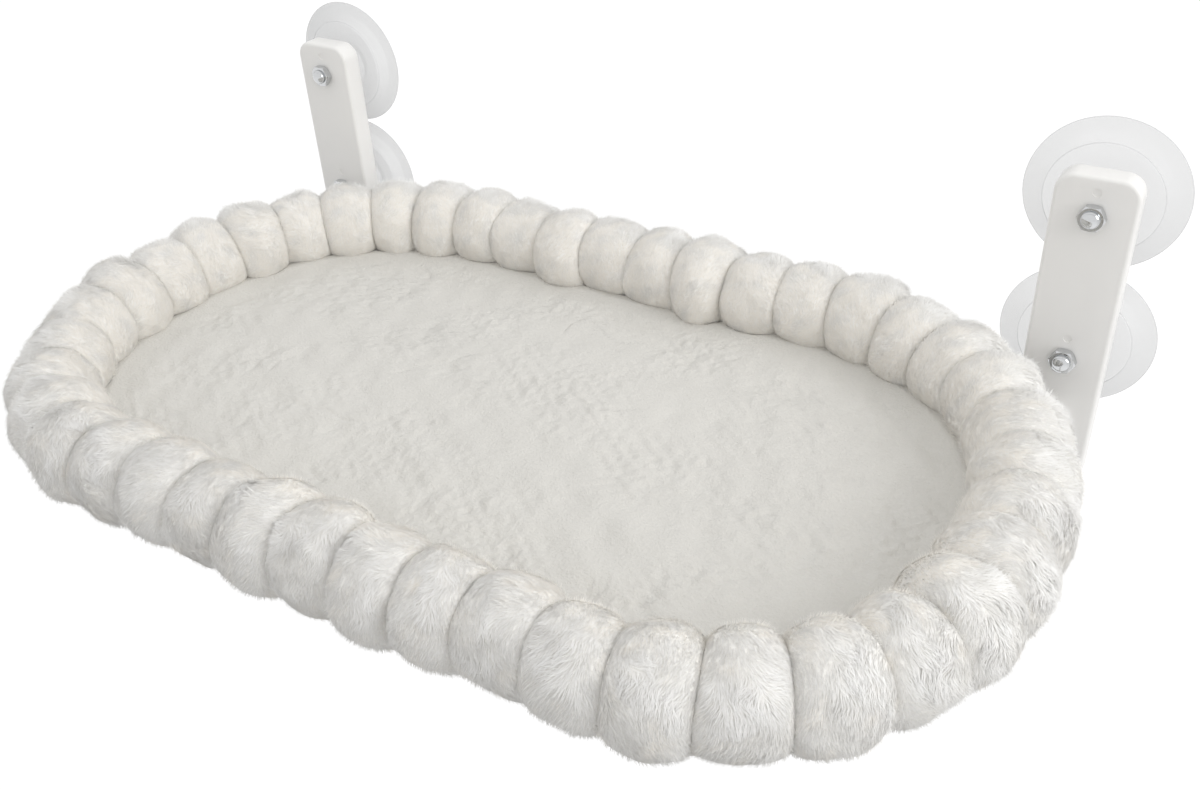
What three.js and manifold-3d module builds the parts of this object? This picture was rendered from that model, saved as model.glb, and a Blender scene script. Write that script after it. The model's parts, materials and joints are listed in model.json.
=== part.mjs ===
// A cat perch that hangs on a window by four suction cups. All lengths are in millimetres.
// The origin lies on the glass, midway between the four cups. +Z is up and +Y points through the
// glass, so the arms and the bed are on the -Y side. "Height" in a turned piece is its distance
// from the glass, and the bed folds up towards the glass about the two hinge bolts.

import * as THREE from 'three';
import { mergeVertices } from 'three/addons/utils/BufferGeometryUtils.js';
import Module from 'manifold-3d';

const wasm = await Module();
wasm.setup();

// Gaps and tolerances
const seatGap = 0.3;
const overrun = 2;
const weldDistance = 0.001;

// Suction cups
const cupDiameter = 86;
const cupGap = 1;
const cupRimThickness = 1.4;
const cupSealWidth = 9;
const cupHollowDepth = 3.4;
const cupHollowFlatShare = 0.5;
const cupStepDiameter = 62;
const cupStepHeight = 8.4;
const cupStepRise = 1.7;
const cupDishDrop = 1.1;
const cupBossDiameter = 28;
const cupBossFillet = 3.5;
const cupSkinOverHollow = 1.8;

// Studs moulded into the cups, and the acorn nuts on them
const studDiameter = 8;
const studHeadDiameter = 18;
const studHeadThickness = 2.6;
const studInNut = 7;
const nutAcrossFlats = 13;
const nutHexHeight = 5;
const nutDomeDiameter = 11.6;
const nutTopThickness = 1.4;
const nutDomeShares = [[1, 0], [1, 0.3], [0.86, 0.66], [0.52, 0.92], [0, 1]];

// Arms
const armWidth = 43.3;
const armInsideBed = 15.2;
const armThickness = 15;
const armStandOff = 15;
const armTopAboveStud = 21.2;
const armBelowStud = 84.5;
const armCornerRadius = 10.5;
const armEdgeRadius = 2.2;
const locatorDiameter = 4.7;
const locatorAboveStud = 12.8;
const armWall = 3;
const armPocketDepth = 10;
const armBossHalfHeight = 13;
const armRibThickness = 2.4;
const armPocketCount = 3;

// Bed: the bolster's centre line as a rounded rectangle, seen from above
const bedBackGap = 5;
const bedWidth = 556;
const bedRearCorner = 155;
const bedSideStraight = 25;
const bedFrontCorner = 135;
const bedDrop = 77.1;
const bolsterRadius = 29;
const bolsterSeamRadius = 23.5;
const puffCount = 43;
const puffPhaseShare = -0.35;
const puffRingShares = [0, 0.3, 0.7];
const bolsterSides = 8;

// Pad inside the bolster
const padTuck = 3.2;
const padEdgeHeight = 12.5;
const padCrown = 3;
const padSideTuck = 3;
const padShoulder = 4;
const padSideShare = 0.45;
const padShoulderShare = 0.85;
const padCrownRings = [[18, 0.55], [52, 0.9], [88, 1]];
const cornerSteps = 9;

// Frame tube under the bolster, in two halves, and the sling sewn round it
const tubeDiameter = 12;
const tubeWall = 1.2;
const tubeInset = 8;
const tubeSides = 10;
const tubeSteps = 26;
const clothThickness = 1;
const couplerEndGap = 1;
const couplerGap = 0.6;
const couplerScrewShare = 0.29;
const couplerScrewDiameter = 3.4;
const couplerScrewHeadDiameter = 7;
const couplerScrewHeadHeight = 2.2;
const couplerScrewReach = 8;
const hemWindowMargin = 3;

// Hinge between the bed and the gusset brackets
const pivotAheadOfArm = 56;
const pivotAboveSling = 15.1;
const foldAngle = THREE.MathUtils.degToRad(80);
const plateThickness = 3.5;
const earRadius = 12;
const lugEarRadius = 11;
const hingeBoltDiameter = 8;
const hingeBoltHeadDiameter = 14;
const hingeBoltHeadHeight = 4.6;
const hingeBoltBeyondNut = 1.5;
const hingeNutAcrossFlats = 13;
const hingeNutHeight = 7.5;
const hingeWasherDiameter = 19;
const hingeWasherThickness = 1;
const slotSideGap = 1;

// Gusset brackets and their screws
const flangeWidth = 22;
const flangeAboveArmEnd = 6;
const flangeHeight = 50;
const noseReach = 66;
const noseHeelReach = 24;
const noseTipDepth = 8;
const lugFootLength = 30;
const lugFootSink = 5;
const bracketScrewDiameter = 4.4;
const bracketScrewHeadDiameter = 9;
const bracketScrewHeadHeight = 2.8;
const bracketScrewReach = 11;
const bracketScrewEdge = 11;

// Facets round a turned piece, and steps along an arc
const cupFacets = 20;
const boltFacets = 12;
const cornerFacets = 4;
const pocketFacets = 2;
const edgeFacets = 2;
const earFacets = 8;
const lugFacets = 6;
const slotFacets = 4;

// Places worked out from the sizes above
const sides = { left: -1, right: 1 };
const levels = { upper: 1, lower: -1 };
const armX = bedWidth / 2 - armInsideBed;
const studZ = (cupDiameter + cupGap) / 2;
const armFront = armStandOff + armThickness;
const armTopZ = studZ + armTopAboveStud;
const armEndZ = -studZ - armBelowStud;
const rearY = -(bedBackGap + bolsterRadius);
const frontY = rearY - bedRearCorner - bedSideStraight - bedFrontCorner;
const couplerLength = bedSideStraight - couplerEndGap;
const couplerScrewOffset = couplerLength * couplerScrewShare;
const bolsterZ = -bedDrop + seatGap + bolsterRadius;
const tubeZ = -bedDrop - clothThickness - seatGap - tubeDiameter / 2;
const pivotY = -(armFront + pivotAheadOfArm);
const pivotZ = -bedDrop + pivotAboveSling;
const plateInner = armX - plateThickness / 2;
const plateOuter = armX + plateThickness / 2;
const lugOuter = plateInner - seatGap - hingeWasherThickness - seatGap;
const lugInner = lugOuter - plateThickness;
const hingeHoleRadius = hingeBoltDiameter / 2 + seatGap;
const flangeBack = armFront + seatGap;
const flangeFront = flangeBack + plateThickness;
const flangeBottomZ = armEndZ + flangeAboveArmEnd;
const flangeTopZ = flangeBottomZ + flangeHeight;
const bracketScrewX = armX + plateThickness / 2 - flangeWidth + bracketScrewEdge;
const bracketScrewZs = { upper: flangeTopZ - bracketScrewEdge, lower: flangeBottomZ + bracketScrewEdge };
const padInset = bolsterRadius - padTuck;

function finish(name, colour, roughness, metalness, extra = {}) {
  return new THREE.MeshStandardMaterial({ name, color: colour, roughness, metalness, ...extra });
}

const finishes = {
  plastic: () => finish('white_plastic', 0xf1efec, 0.42, 0),
  clear: () => finish('clear_pvc', 0xe4e6e8, 0.12, 0, { transparent: true, opacity: 0.35 }),
  chrome: () => finish('chrome', 0xd8d9db, 0.1, 1),
  zinc: () => finish('zinc_steel', 0xb9bcc0, 0.35, 1),
  coated: () => finish('coated_steel', 0xe9e8e5, 0.5, 0.1),
  nylon: () => finish('nylon', 0xe6e2d6, 0.55, 0),
  cloth: () => finish('sling_cloth', 0xdedad2, 0.9, 0),
  plush: () => finish('plush', 0xf3f0e9, 1, 0),
  padPlush: () => finish('pad_plush', 0xe6e2d7, 1, 0),
};

// Solids: a closed geometry becomes a manifold body for cuts and joins, and a geometry again

function body(geometry) {
  const bare = geometry.clone();
  bare.deleteAttribute('normal');
  bare.deleteAttribute('uv');
  const welded = mergeVertices(bare, weldDistance);
  return new wasm.Manifold(new wasm.Mesh({
    numProp: 3,
    vertProperties: Float32Array.from(welded.attributes.position.array),
    triVerts: Uint32Array.from(welded.index.array),
  }));
}

function shapeOf(solid) {
  const mesh = solid.getMesh();
  const geometry = new THREE.BufferGeometry();
  geometry.setAttribute('position', new THREE.BufferAttribute(mesh.vertProperties, 3));
  geometry.setIndex(new THREE.BufferAttribute(mesh.triVerts, 1));
  geometry.computeVertexNormals();
  return geometry;
}

function join(first, ...others) {
  return shapeOf(others.reduce((whole, other) => whole.add(body(other)), body(first)));
}

function cut(first, ...tools) {
  return shapeOf(tools.reduce((rest, tool) => rest.subtract(body(tool)), body(first)));
}

// Turned pieces: the profile holds [radius, height] pairs, and the axis is Y

function turned(profile, facets) {
  const points = profile.map(([radius, height]) => new THREE.Vector2(radius, height));
  return new THREE.LatheGeometry(points, facets);
}

function rod(radius, low, high, facets = boltFacets) {
  return turned([[0, low], [radius, low], [radius, high], [0, high]], facets);
}

function hexagon(acrossFlats, low, high) {
  const sideCount = 6;
  return rod(acrossFlats / 2 / Math.cos(Math.PI / sideCount), low, high, sideCount);
}

function alongX(geometry, sign) {
  return geometry.rotateZ(-sign * Math.PI / 2);
}

function upAlongZ(geometry) {
  return geometry.rotateX(Math.PI / 2);
}

function block(lowX, highX, lowY, highY, lowZ, highZ) {
  const box = new THREE.BoxGeometry(highX - lowX, highY - lowY, highZ - lowZ);
  return box.translate((lowX + highX) / 2, (lowY + highY) / 2, (lowZ + highZ) / 2);
}

// A plate across X: its outline holds [y, z] points, and near and far are distances from the
// middle plane

function plate(outline, sign, near, far) {
  const shape = new THREE.Shape(outline.map(([y, z]) => new THREE.Vector2(y, z)));
  const low = sign > 0 ? near : -far;
  const sheet = new THREE.ExtrudeGeometry(shape, { depth: far - near, bevelEnabled: false });
  const turn = new THREE.Matrix4().set(0, 0, 1, low, 1, 0, 0, 0, 0, 1, 0, 0, 0, 0, 0, 1);
  return sheet.applyMatrix4(turn);
}

function arcPoints(centreY, centreZ, radius, from, to, steps) {
  return Array.from({ length: steps + 1 }, (_, step) => {
    const angle = from + (to - from) * step / steps;
    return [centreY + radius * Math.cos(angle), centreZ + radius * Math.sin(angle)];
  });
}

// The bed's outline, drawn in by an inset, and a point on it at a distance along it from the
// middle of the front edge, anticlockwise seen from above

function ringInset(inset) {
  return {
    halfWidth: bedWidth / 2 - inset,
    rear: rearY - inset,
    front: frontY + inset,
    rearCorner: bedRearCorner - inset,
    frontCorner: bedFrontCorner - inset,
  };
}

function ringLengths(ring) {
  const front = ring.halfWidth - ring.frontCorner;
  const frontArc = ring.frontCorner * Math.PI / 2;
  const side = ring.rear - ring.rearCorner - ring.front - ring.frontCorner;
  const rearArc = ring.rearCorner * Math.PI / 2;
  const rear = ring.halfWidth - ring.rearCorner;
  return { front, frontArc, side, rearArc, half: front + frontArc + side + rearArc + rear };
}

function cornerPoint(ring, corner, centreY, angle) {
  const [nx, ny] = [Math.cos(angle), Math.sin(angle)];
  return { x: ring.halfWidth - corner + corner * nx, y: centreY + corner * ny, nx, ny };
}

function halfRingPoint(ring, along) {
  const { front, frontArc, side, rearArc } = ringLengths(ring);
  const sideFrom = front + frontArc;
  const sideTo = sideFrom + side;
  const frontCentre = ring.front + ring.frontCorner;
  const rearCentre = ring.rear - ring.rearCorner;
  if (along < front) {
    return { x: along, y: ring.front, nx: 0, ny: -1 };
  }
  if (along < sideFrom) {
    const angle = (along - front) / ring.frontCorner - Math.PI / 2;
    return cornerPoint(ring, ring.frontCorner, frontCentre, angle);
  }
  if (along < sideTo) {
    return { x: ring.halfWidth, y: frontCentre + along - sideFrom, nx: 1, ny: 0 };
  }
  if (along < sideTo + rearArc) {
    return cornerPoint(ring, ring.rearCorner, rearCentre, (along - sideTo) / ring.rearCorner);
  }
  const past = along - sideTo - rearArc;
  return { x: ring.halfWidth - ring.rearCorner - past, y: ring.rear, nx: 0, ny: 1 };
}

function ringPoint(ring, along) {
  const whole = 2 * ringLengths(ring).half;
  const wrapped = along - whole * Math.round(along / whole);
  const sign = Math.sign(wrapped) || 1;
  const { x, y, nx, ny } = halfRingPoint(ring, Math.abs(wrapped));
  return { x: sign * x, y, nx: sign * nx, ny };
}

class RingCurve extends THREE.Curve {
  constructor(ring, z, from, to) {
    super();
    Object.assign(this, { ring, z, from, to });
  }

  getPoint(share, target = new THREE.Vector3()) {
    const { x, y } = ringPoint(this.ring, this.from + (this.to - this.from) * share);
    return target.set(x, y, this.z);
  }
}

function jointDistance(ring) {
  const { front, frontArc, side } = ringLengths(ring);
  return front + frontArc + side / 2;
}

// One half of the tube's route: which is front or rear, and extra lengthens it at both ends

function halfCurve(which, extra) {
  const ring = ringInset(tubeInset);
  const joint = jointDistance(ring);
  const [from, to] = which === 'front' ? [-joint, joint] : [joint, 2 * ringLengths(ring).half - joint];
  return new RingCurve(ring, tubeZ, from - extra, to + extra);
}

function halfTube(which, radius, extra) {
  const section = Array.from({ length: tubeSides }, (_, side) => {
    const angle = 2 * Math.PI * side / tubeSides;
    return new THREE.Vector2(radius * Math.cos(angle), radius * Math.sin(angle));
  });
  return new THREE.ExtrudeGeometry(new THREE.Shape(section), {
    extrudePath: halfCurve(which, extra),
    steps: tubeSteps,
    bevelEnabled: false,
  });
}

// Bodies lofted from rings of points. Each ring runs anticlockwise about the loft's direction.

function lofted(rings, closed) {
  const count = rings[0].length;
  const points = rings.flat();
  const faces = [];
  const last = closed ? rings.length : rings.length - 1;
  for (let ring = 0; ring < last; ring += 1) {
    const next = (ring + 1) % rings.length;
    for (let step = 0; step < count; step += 1) {
      const after = (step + 1) % count;
      const [a, b] = [ring * count + step, next * count + step];
      const [c, d] = [next * count + after, ring * count + after];
      faces.push(a, b, c, a, c, d);
    }
  }
  if (!closed) {
    for (const [ring, flip] of [[0, false], [rings.length - 1, true]]) {
      const centre = new THREE.Vector3();
      rings[ring].forEach((point) => centre.add(new THREE.Vector3(...point).divideScalar(count)));
      points.push(centre.toArray());
      for (let step = 0; step < count; step += 1) {
        const [a, b] = [ring * count + step, ring * count + (step + 1) % count];
        faces.push(points.length - 1, ...(flip ? [b, a] : [a, b]));
      }
    }
  }
  const geometry = new THREE.BufferGeometry();
  geometry.setAttribute('position', new THREE.Float32BufferAttribute(points.flat(), 3));
  geometry.setIndex(faces);
  geometry.computeVertexNormals();
  return geometry;
}

// Suction cup: a clear dish with a flat seal, a stepped back and a boss that holds the stud's head

function suctionCup() {
  const outer = cupDiameter / 2;
  const seal = outer - cupSealWidth;
  const step = cupStepDiameter / 2;
  const boss = cupBossDiameter / 2;
  const bossTop = armStandOff - seatGap;
  const pocketFloor = cupHollowDepth + cupSkinOverHollow;
  const pocketTop = pocketFloor + studHeadThickness + 2 * seatGap;
  const pocket = studHeadDiameter / 2 + seatGap;
  const bore = studDiameter / 2 + seatGap;
  return turned([
    [0, cupHollowDepth],
    [seal * cupHollowFlatShare, cupHollowDepth],
    [seal, 0],
    [outer, 0],
    [outer, cupRimThickness],
    [step, cupStepHeight - cupStepRise],
    [step, cupStepHeight],
    [boss + cupBossFillet, cupStepHeight - cupDishDrop],
    [boss, cupStepHeight + cupDishDrop],
    [boss, bossTop],
    [bore, bossTop],
    [bore, pocketTop],
    [pocket, pocketTop],
    [pocket, pocketFloor],
    [0, pocketFloor],
  ], cupFacets);
}

function cupStud() {
  const headLow = cupHollowDepth + cupSkinOverHollow + seatGap;
  const headHigh = headLow + studHeadThickness;
  const shank = studDiameter / 2;
  const tip = armFront + seatGap + studInNut;
  return turned([
    [0, headLow],
    [studHeadDiameter / 2, headLow],
    [studHeadDiameter / 2, headHigh],
    [shank, headHigh],
    [shank, tip],
    [0, tip],
  ], boltFacets);
}

function acornNut() {
  const seat = armFront + seatGap;
  const boreTop = seat + studInNut + seatGap;
  const dome = nutDomeDiameter / 2;
  const domeLow = seat + nutHexHeight;
  const domeHeight = boreTop + nutTopThickness - domeLow;
  const profile = nutDomeShares.map(([across, up]) => [dome * across, domeLow + domeHeight * up]);
  const cap = turned([[0, seat], [dome, seat], ...profile], boltFacets);
  const blank = join(hexagon(nutAcrossFlats, seat, domeLow), cap);
  return cut(blank, rod(studDiameter / 2 + seatGap, seat - overrun, boreTop));
}

// Arm: a moulded bar with stud holes, small locating holes, a cored back and blind screw holes

function roundedBar(halfWidth, lowZ, highZ, radius) {
  const bar = new THREE.Shape();
  bar.moveTo(halfWidth, lowZ + radius);
  bar.lineTo(halfWidth, highZ - radius);
  bar.absarc(halfWidth - radius, highZ - radius, radius, 0, Math.PI / 2);
  bar.absarc(-halfWidth + radius, highZ - radius, radius, Math.PI / 2, Math.PI);
  bar.absarc(-halfWidth + radius, lowZ + radius, radius, Math.PI, Math.PI * 3 / 2);
  bar.absarc(halfWidth - radius, lowZ + radius, radius, Math.PI * 3 / 2, Math.PI * 2);
  return bar;
}

function acrossArm(shape, near, far, edge, facets) {
  const bevel = { bevelEnabled: edge > 0, bevelThickness: edge, bevelSize: edge, bevelOffset: -edge };
  const bar = new THREE.ExtrudeGeometry(shape, {
    depth: far - near - 2 * edge,
    bevelSegments: edgeFacets,
    curveSegments: facets,
    ...bevel,
  });
  return bar.rotateX(Math.PI / 2).translate(0, -(near + edge), 0);
}

function armHole(x, z, radius, near, far) {
  return rod(radius, near, far).rotateX(Math.PI).translate(x, 0, z);
}

function armPockets() {
  const half = armWidth / 2 - armWall;
  const low = -studZ + locatorAboveStud + locatorDiameter / 2 + armWall;
  const high = studZ - armBossHalfHeight;
  const pitch = (high - low + armRibThickness) / armPocketCount;
  const cells = Array.from({ length: armPocketCount }, (_, cell) => [
    low + cell * pitch,
    low + (cell + 1) * pitch - armRibThickness,
  ]);
  const screwBoss = bracketScrewDiameter / 2 + seatGap + armWall;
  cells.push([bracketScrewZs.upper + screwBoss, -studZ - armBossHalfHeight]);
  return cells.map(([from, to]) => acrossArm(
    roundedBar(half, from, to, Math.min(armWall, (to - from) / 2)),
    armStandOff - overrun,
    armStandOff + armPocketDepth,
    0,
    pocketFacets,
  ));
}

function arm(sign) {
  const outline = roundedBar(armWidth / 2, armEndZ, armTopZ, armCornerRadius);
  const bar = acrossArm(outline, armStandOff, armFront, armEdgeRadius, cornerFacets);
  const [back, front] = [armStandOff - overrun, armFront + overrun];
  const studHoles = Object.values(levels).flatMap((level) => [
    armHole(0, level * studZ, studDiameter / 2 + seatGap, back, front),
    armHole(0, level * studZ + locatorAboveStud, locatorDiameter / 2, back, front),
  ]);
  const screwHoles = Object.values(bracketScrewZs).map((z) => armHole(
    sign * (bracketScrewX - armX),
    z,
    bracketScrewDiameter / 2 + seatGap,
    armFront - bracketScrewReach - seatGap,
    front,
  ));
  return cut(bar, ...studHoles, ...screwHoles, ...armPockets());
}

// Gusset bracket: a bent plate. Its flange is screwed to the arm, its ear carries the hinge bolt,
// and the frame tube comes down on the top of its nose.

function gussetOutline() {
  const noseTop = tubeZ - tubeDiameter / 2 - seatGap;
  return [
    [-flangeBack, flangeTopZ],
    ...arcPoints(pivotY, pivotZ, earRadius, Math.PI / 3, Math.PI, earFacets),
    [pivotY - noseHeelReach, noseTop],
    [pivotY - noseReach, noseTop],
    [pivotY - noseReach, noseTop - noseTipDepth],
    [-flangeFront - noseHeelReach, flangeBottomZ],
    [-flangeBack, flangeBottomZ],
  ];
}

function hingeHole(sign) {
  const hole = alongX(rod(hingeHoleRadius, lugInner - overrun, plateOuter + overrun), sign);
  return hole.translate(0, pivotY, pivotZ);
}

function gussetBracket(sign) {
  const inner = plateOuter - flangeWidth;
  const [low, high] = sign > 0 ? [inner, plateOuter] : [-plateOuter, -inner];
  const flange = block(low, high, -flangeFront, -flangeBack, flangeBottomZ, flangeTopZ);
  const bent = join(plate(gussetOutline(), sign, plateInner, plateOuter), flange);
  const screwHoles = Object.values(bracketScrewZs).map((z) => armHole(
    sign * bracketScrewX,
    z,
    bracketScrewDiameter / 2 + seatGap,
    flangeBack - overrun,
    flangeFront + overrun,
  ));
  return cut(bent, hingeHole(sign), ...screwHoles);
}

function bracketScrew() {
  const headLow = flangeFront + seatGap;
  const headHigh = headLow + bracketScrewHeadHeight;
  const head = bracketScrewHeadDiameter / 2;
  const shank = bracketScrewDiameter / 2;
  const tip = armFront - bracketScrewReach;
  return turned([
    [0, tip],
    [shank, tip],
    [shank, headLow],
    [head, headLow],
    [head, headHigh],
    [0, headHigh],
  ], boltFacets);
}

// Hinge hardware, with heights as distances from the middle plane of the perch

function hingeBolt() {
  const head = hingeBoltHeadDiameter / 2;
  const shank = hingeBoltDiameter / 2;
  const headHigh = lugInner - seatGap;
  const tip = plateOuter + seatGap + hingeNutHeight + hingeBoltBeyondNut;
  const headLow = headHigh - hingeBoltHeadHeight;
  return turned([
    [0, headLow],
    [head, headLow],
    [head, headHigh],
    [shank, headHigh],
    [shank, tip],
    [0, tip],
  ], boltFacets);
}

function hingeNut() {
  const low = plateOuter + seatGap;
  const high = low + hingeNutHeight;
  const blank = hexagon(hingeNutAcrossFlats, low, high);
  return cut(blank, rod(hingeHoleRadius, low - overrun, high + overrun));
}

function hingeWasher() {
  const low = lugOuter + seatGap;
  const high = low + hingeWasherThickness;
  const disc = rod(hingeWasherDiameter / 2, low, high);
  return cut(disc, rod(hingeHoleRadius, low - overrun, high + overrun));
}

// Frame: two bent tubes that meet at the sides, over couplers. The rear one has welded hinge lugs,
// whose feet stand where the tube passes under them.

function lugFootY() {
  const ring = ringInset(tubeInset);
  const across = (lugInner + lugOuter) / 2 - (ring.halfWidth - ring.rearCorner);
  return ring.rear - ring.rearCorner + Math.sqrt(ring.rearCorner ** 2 - across ** 2);
}

function lugOutline(margin) {
  const ear = lugEarRadius + margin;
  const tubeTop = tubeZ + tubeDiameter / 2;
  const far = lugFootY() - lugFootLength / 2 - margin;
  const near = lugFootY() + lugFootLength / 2 + margin;
  return [
    ...arcPoints(pivotY, pivotZ, ear, -Math.PI / 4, Math.PI * 5 / 6, lugFacets),
    [far, tubeTop + margin],
    [far, tubeTop - lugFootSink],
    [near, tubeTop - lugFootSink],
  ];
}

function couplerScrewPlaces(sign) {
  const ring = ringInset(tubeInset);
  const { x, y } = ringPoint(ring, sign * jointDistance(ring));
  return { front: { x, y: y - couplerScrewOffset }, rear: { x, y: y + couplerScrewOffset } };
}

function couplerScrewHole(place) {
  const low = tubeZ - tubeDiameter / 2;
  const radius = couplerScrewDiameter / 2 + seatGap;
  const hole = upAlongZ(rod(radius, low - overrun, low + couplerScrewReach + seatGap));
  return hole.translate(place.x, place.y, 0);
}

function frameTube(which) {
  const signs = Object.values(sides);
  const outside = halfTube(which, tubeDiameter / 2, -seatGap / 2);
  const bore = halfTube(which, tubeDiameter / 2 - tubeWall, overrun);
  const screwHoles = signs.map((sign) => couplerScrewHole(couplerScrewPlaces(sign)[which]));
  if (which === 'front') {
    return cut(outside, bore, ...screwHoles);
  }
  const lugs = signs.map((sign) => plate(lugOutline(0), sign, lugInner, lugOuter));
  return cut(join(outside, ...lugs), bore, ...screwHoles, ...signs.map(hingeHole));
}

function tubeCoupler(sign) {
  const places = couplerScrewPlaces(sign);
  const radius = tubeDiameter / 2 - tubeWall - couplerGap;
  const middle = (places.front.y + places.rear.y) / 2;
  const spigot = rod(radius, -couplerLength / 2, couplerLength / 2, tubeSides);
  spigot.translate(places.front.x, middle, tubeZ);
  return cut(spigot, ...Object.values(places).map(couplerScrewHole));
}

function couplerScrew() {
  const seat = -tubeDiameter / 2;
  const head = couplerScrewHeadDiameter / 2;
  const shank = couplerScrewDiameter / 2;
  return upAlongZ(turned([
    [0, seat - seatGap - couplerScrewHeadHeight],
    [head, seat - seatGap - couplerScrewHeadHeight],
    [head, seat - seatGap],
    [shank, seat - seatGap],
    [shank, seat + couplerScrewReach],
    [0, seat + couplerScrewReach],
  ], boltFacets));
}

// Outline points for lofts and sheets: an arc at each corner, joined by straight edges

function outlinePoints(inset) {
  const ring = ringInset(inset);
  const corners = [
    [1, ring.front + ring.frontCorner, ring.frontCorner, -Math.PI / 2],
    [1, ring.rear - ring.rearCorner, ring.rearCorner, 0],
    [-1, ring.rear - ring.rearCorner, ring.rearCorner, Math.PI / 2],
    [-1, ring.front + ring.frontCorner, ring.frontCorner, Math.PI],
  ];
  return corners.flatMap(([sign, centreY, radius, start]) => {
    const centreX = sign * (ring.halfWidth - radius);
    return arcPoints(centreX, centreY, radius, start, start + Math.PI / 2, cornerSteps);
  });
}

// Sling: a cloth panel with a hem round the tube, open at the hinges and over the couplers' screws

function hemWindows(sign) {
  const ring = ringInset(tubeInset);
  const hem = tubeDiameter / 2 + seatGap + clothThickness;
  const span = (near, far) => (sign > 0 ? [near, far] : [-far, -near]);
  const hinge = block(
    ...span(lugInner - hemWindowMargin, plateOuter + hemWindowMargin),
    pivotY - noseReach - hemWindowMargin,
    pivotY + hemWindowMargin,
    tubeZ - hem - overrun,
    -bedDrop + overrun,
  );
  const { y } = ringPoint(ring, jointDistance(ring));
  const reach = couplerScrewOffset + couplerScrewHeadDiameter / 2 + hemWindowMargin;
  const coupler = block(
    ...span(ring.halfWidth - hem - overrun, ring.halfWidth + hem + overrun),
    y - reach,
    y + reach,
    tubeZ - hem - overrun,
    tubeZ,
  );
  return [hinge, coupler];
}

function sling() {
  const top = new THREE.Shape(outlinePoints(tubeInset).map(([x, y]) => new THREE.Vector2(x, y)));
  const panel = new THREE.ExtrudeGeometry(top, { depth: clothThickness, bevelEnabled: false });
  panel.translate(0, 0, -bedDrop - clothThickness);
  const hemRadius = tubeDiameter / 2 + seatGap + clothThickness;
  const hems = ['front', 'rear'].map((which) => halfTube(which, hemRadius, overrun / 2));
  const bores = ['front', 'rear'].map((which) => halfTube(which, tubeDiameter / 2 + seatGap, overrun));
  return cut(join(panel, ...hems), ...bores, ...Object.values(sides).flatMap(hemWindows));
}

// Pad: a crowned cushion whose sides draw in under its shoulder

function pad() {
  const low = -bedDrop + seatGap;
  const high = low + padEdgeHeight;
  const rings = [
    [padSideTuck, low],
    [0, low + padEdgeHeight * padSideShare],
    [padShoulder * (1 - padShoulderShare), low + padEdgeHeight * padShoulderShare],
    [padShoulder, high],
    ...padCrownRings.map(([inset, share]) => [padShoulder + inset, high + padCrown * share]),
  ];
  const outlines = rings.map(([inset, z]) => {
    const outline = outlinePoints(padInset + inset).reverse();
    return outline.map(([x, y]) => [x, y, z]);
  });
  return lofted(outlines, false);
}

// Bolster: a stuffed tube of puffs, drawn in at each seam, with a slit for each hinge

function bolsterSection(along, radius) {
  const { x, y, nx, ny } = ringPoint(ringInset(0), along);
  return Array.from({ length: bolsterSides }, (_, side) => {
    const angle = 2 * Math.PI * side / bolsterSides;
    const out = radius * Math.cos(angle);
    return [x + nx * out, y + ny * out, bolsterZ + radius * Math.sin(angle)];
  });
}

function bolsterRing() {
  const pitch = 2 * ringLengths(ringInset(0)).half / puffCount;
  const sections = [];
  for (let puff = 0; puff < puffCount; puff += 1) {
    for (const share of puffRingShares) {
      const radius = share === 0 ? bolsterSeamRadius : bolsterRadius;
      sections.push(bolsterSection((puff + puffPhaseShare + share) * pitch, radius));
    }
  }
  return lofted(sections, true);
}

// The bracket's ear and arm sweep this sector as the bed folds up, seen from the bed

function sweptSlot() {
  const margin = earRadius + slotSideGap;
  const reach = bolsterRadius * 2 + seatGap;
  const [flangeAcross, flangeUp] = [-flangeBack - pivotY, flangeTopZ - pivotZ];
  const flangeAngle = Math.atan2(flangeUp, flangeAcross);
  const flangeReach = Math.hypot(flangeUp, flangeAcross);
  const tangentAngle = flangeAngle + Math.acos(margin / flangeReach) + foldAngle;
  const upper = tangentAngle - Math.acos(margin / reach);
  return [
    ...arcPoints(pivotY, pivotZ, reach, -Math.PI / 2, upper, slotFacets),
    ...arcPoints(pivotY, pivotZ, margin, tangentAngle, Math.PI, slotFacets),
    [pivotY - noseHeelReach - slotSideGap, tubeZ - tubeDiameter / 2],
  ];
}

function bolster() {
  const slits = Object.values(sides).flatMap((sign) => {
    const bolt = alongX(rod(
      hingeBoltHeadDiameter / 2 + slotSideGap,
      lugInner - seatGap - hingeBoltHeadHeight - slotSideGap,
      plateOuter + seatGap + hingeNutHeight + hingeBoltBeyondNut + slotSideGap,
    ), sign).translate(0, pivotY, pivotZ);
    return [
      plate(sweptSlot(), sign, plateInner - slotSideGap, plateOuter + slotSideGap),
      plate(lugOutline(slotSideGap), sign, lugInner - slotSideGap, plateInner),
      bolt,
    ];
  });
  return cut(bolsterRing(), ...slits);
}

// Assembly

const perch = new THREE.Group();

function add(name, geometry, material, place = [0, 0, 0], turn = [0, 0, 0]) {
  const mesh = new THREE.Mesh(geometry, material);
  mesh.name = name;
  mesh.position.set(...place);
  mesh.rotation.set(...turn);
  perch.add(mesh);
}

const facingRoom = [Math.PI, 0, 0];

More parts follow.
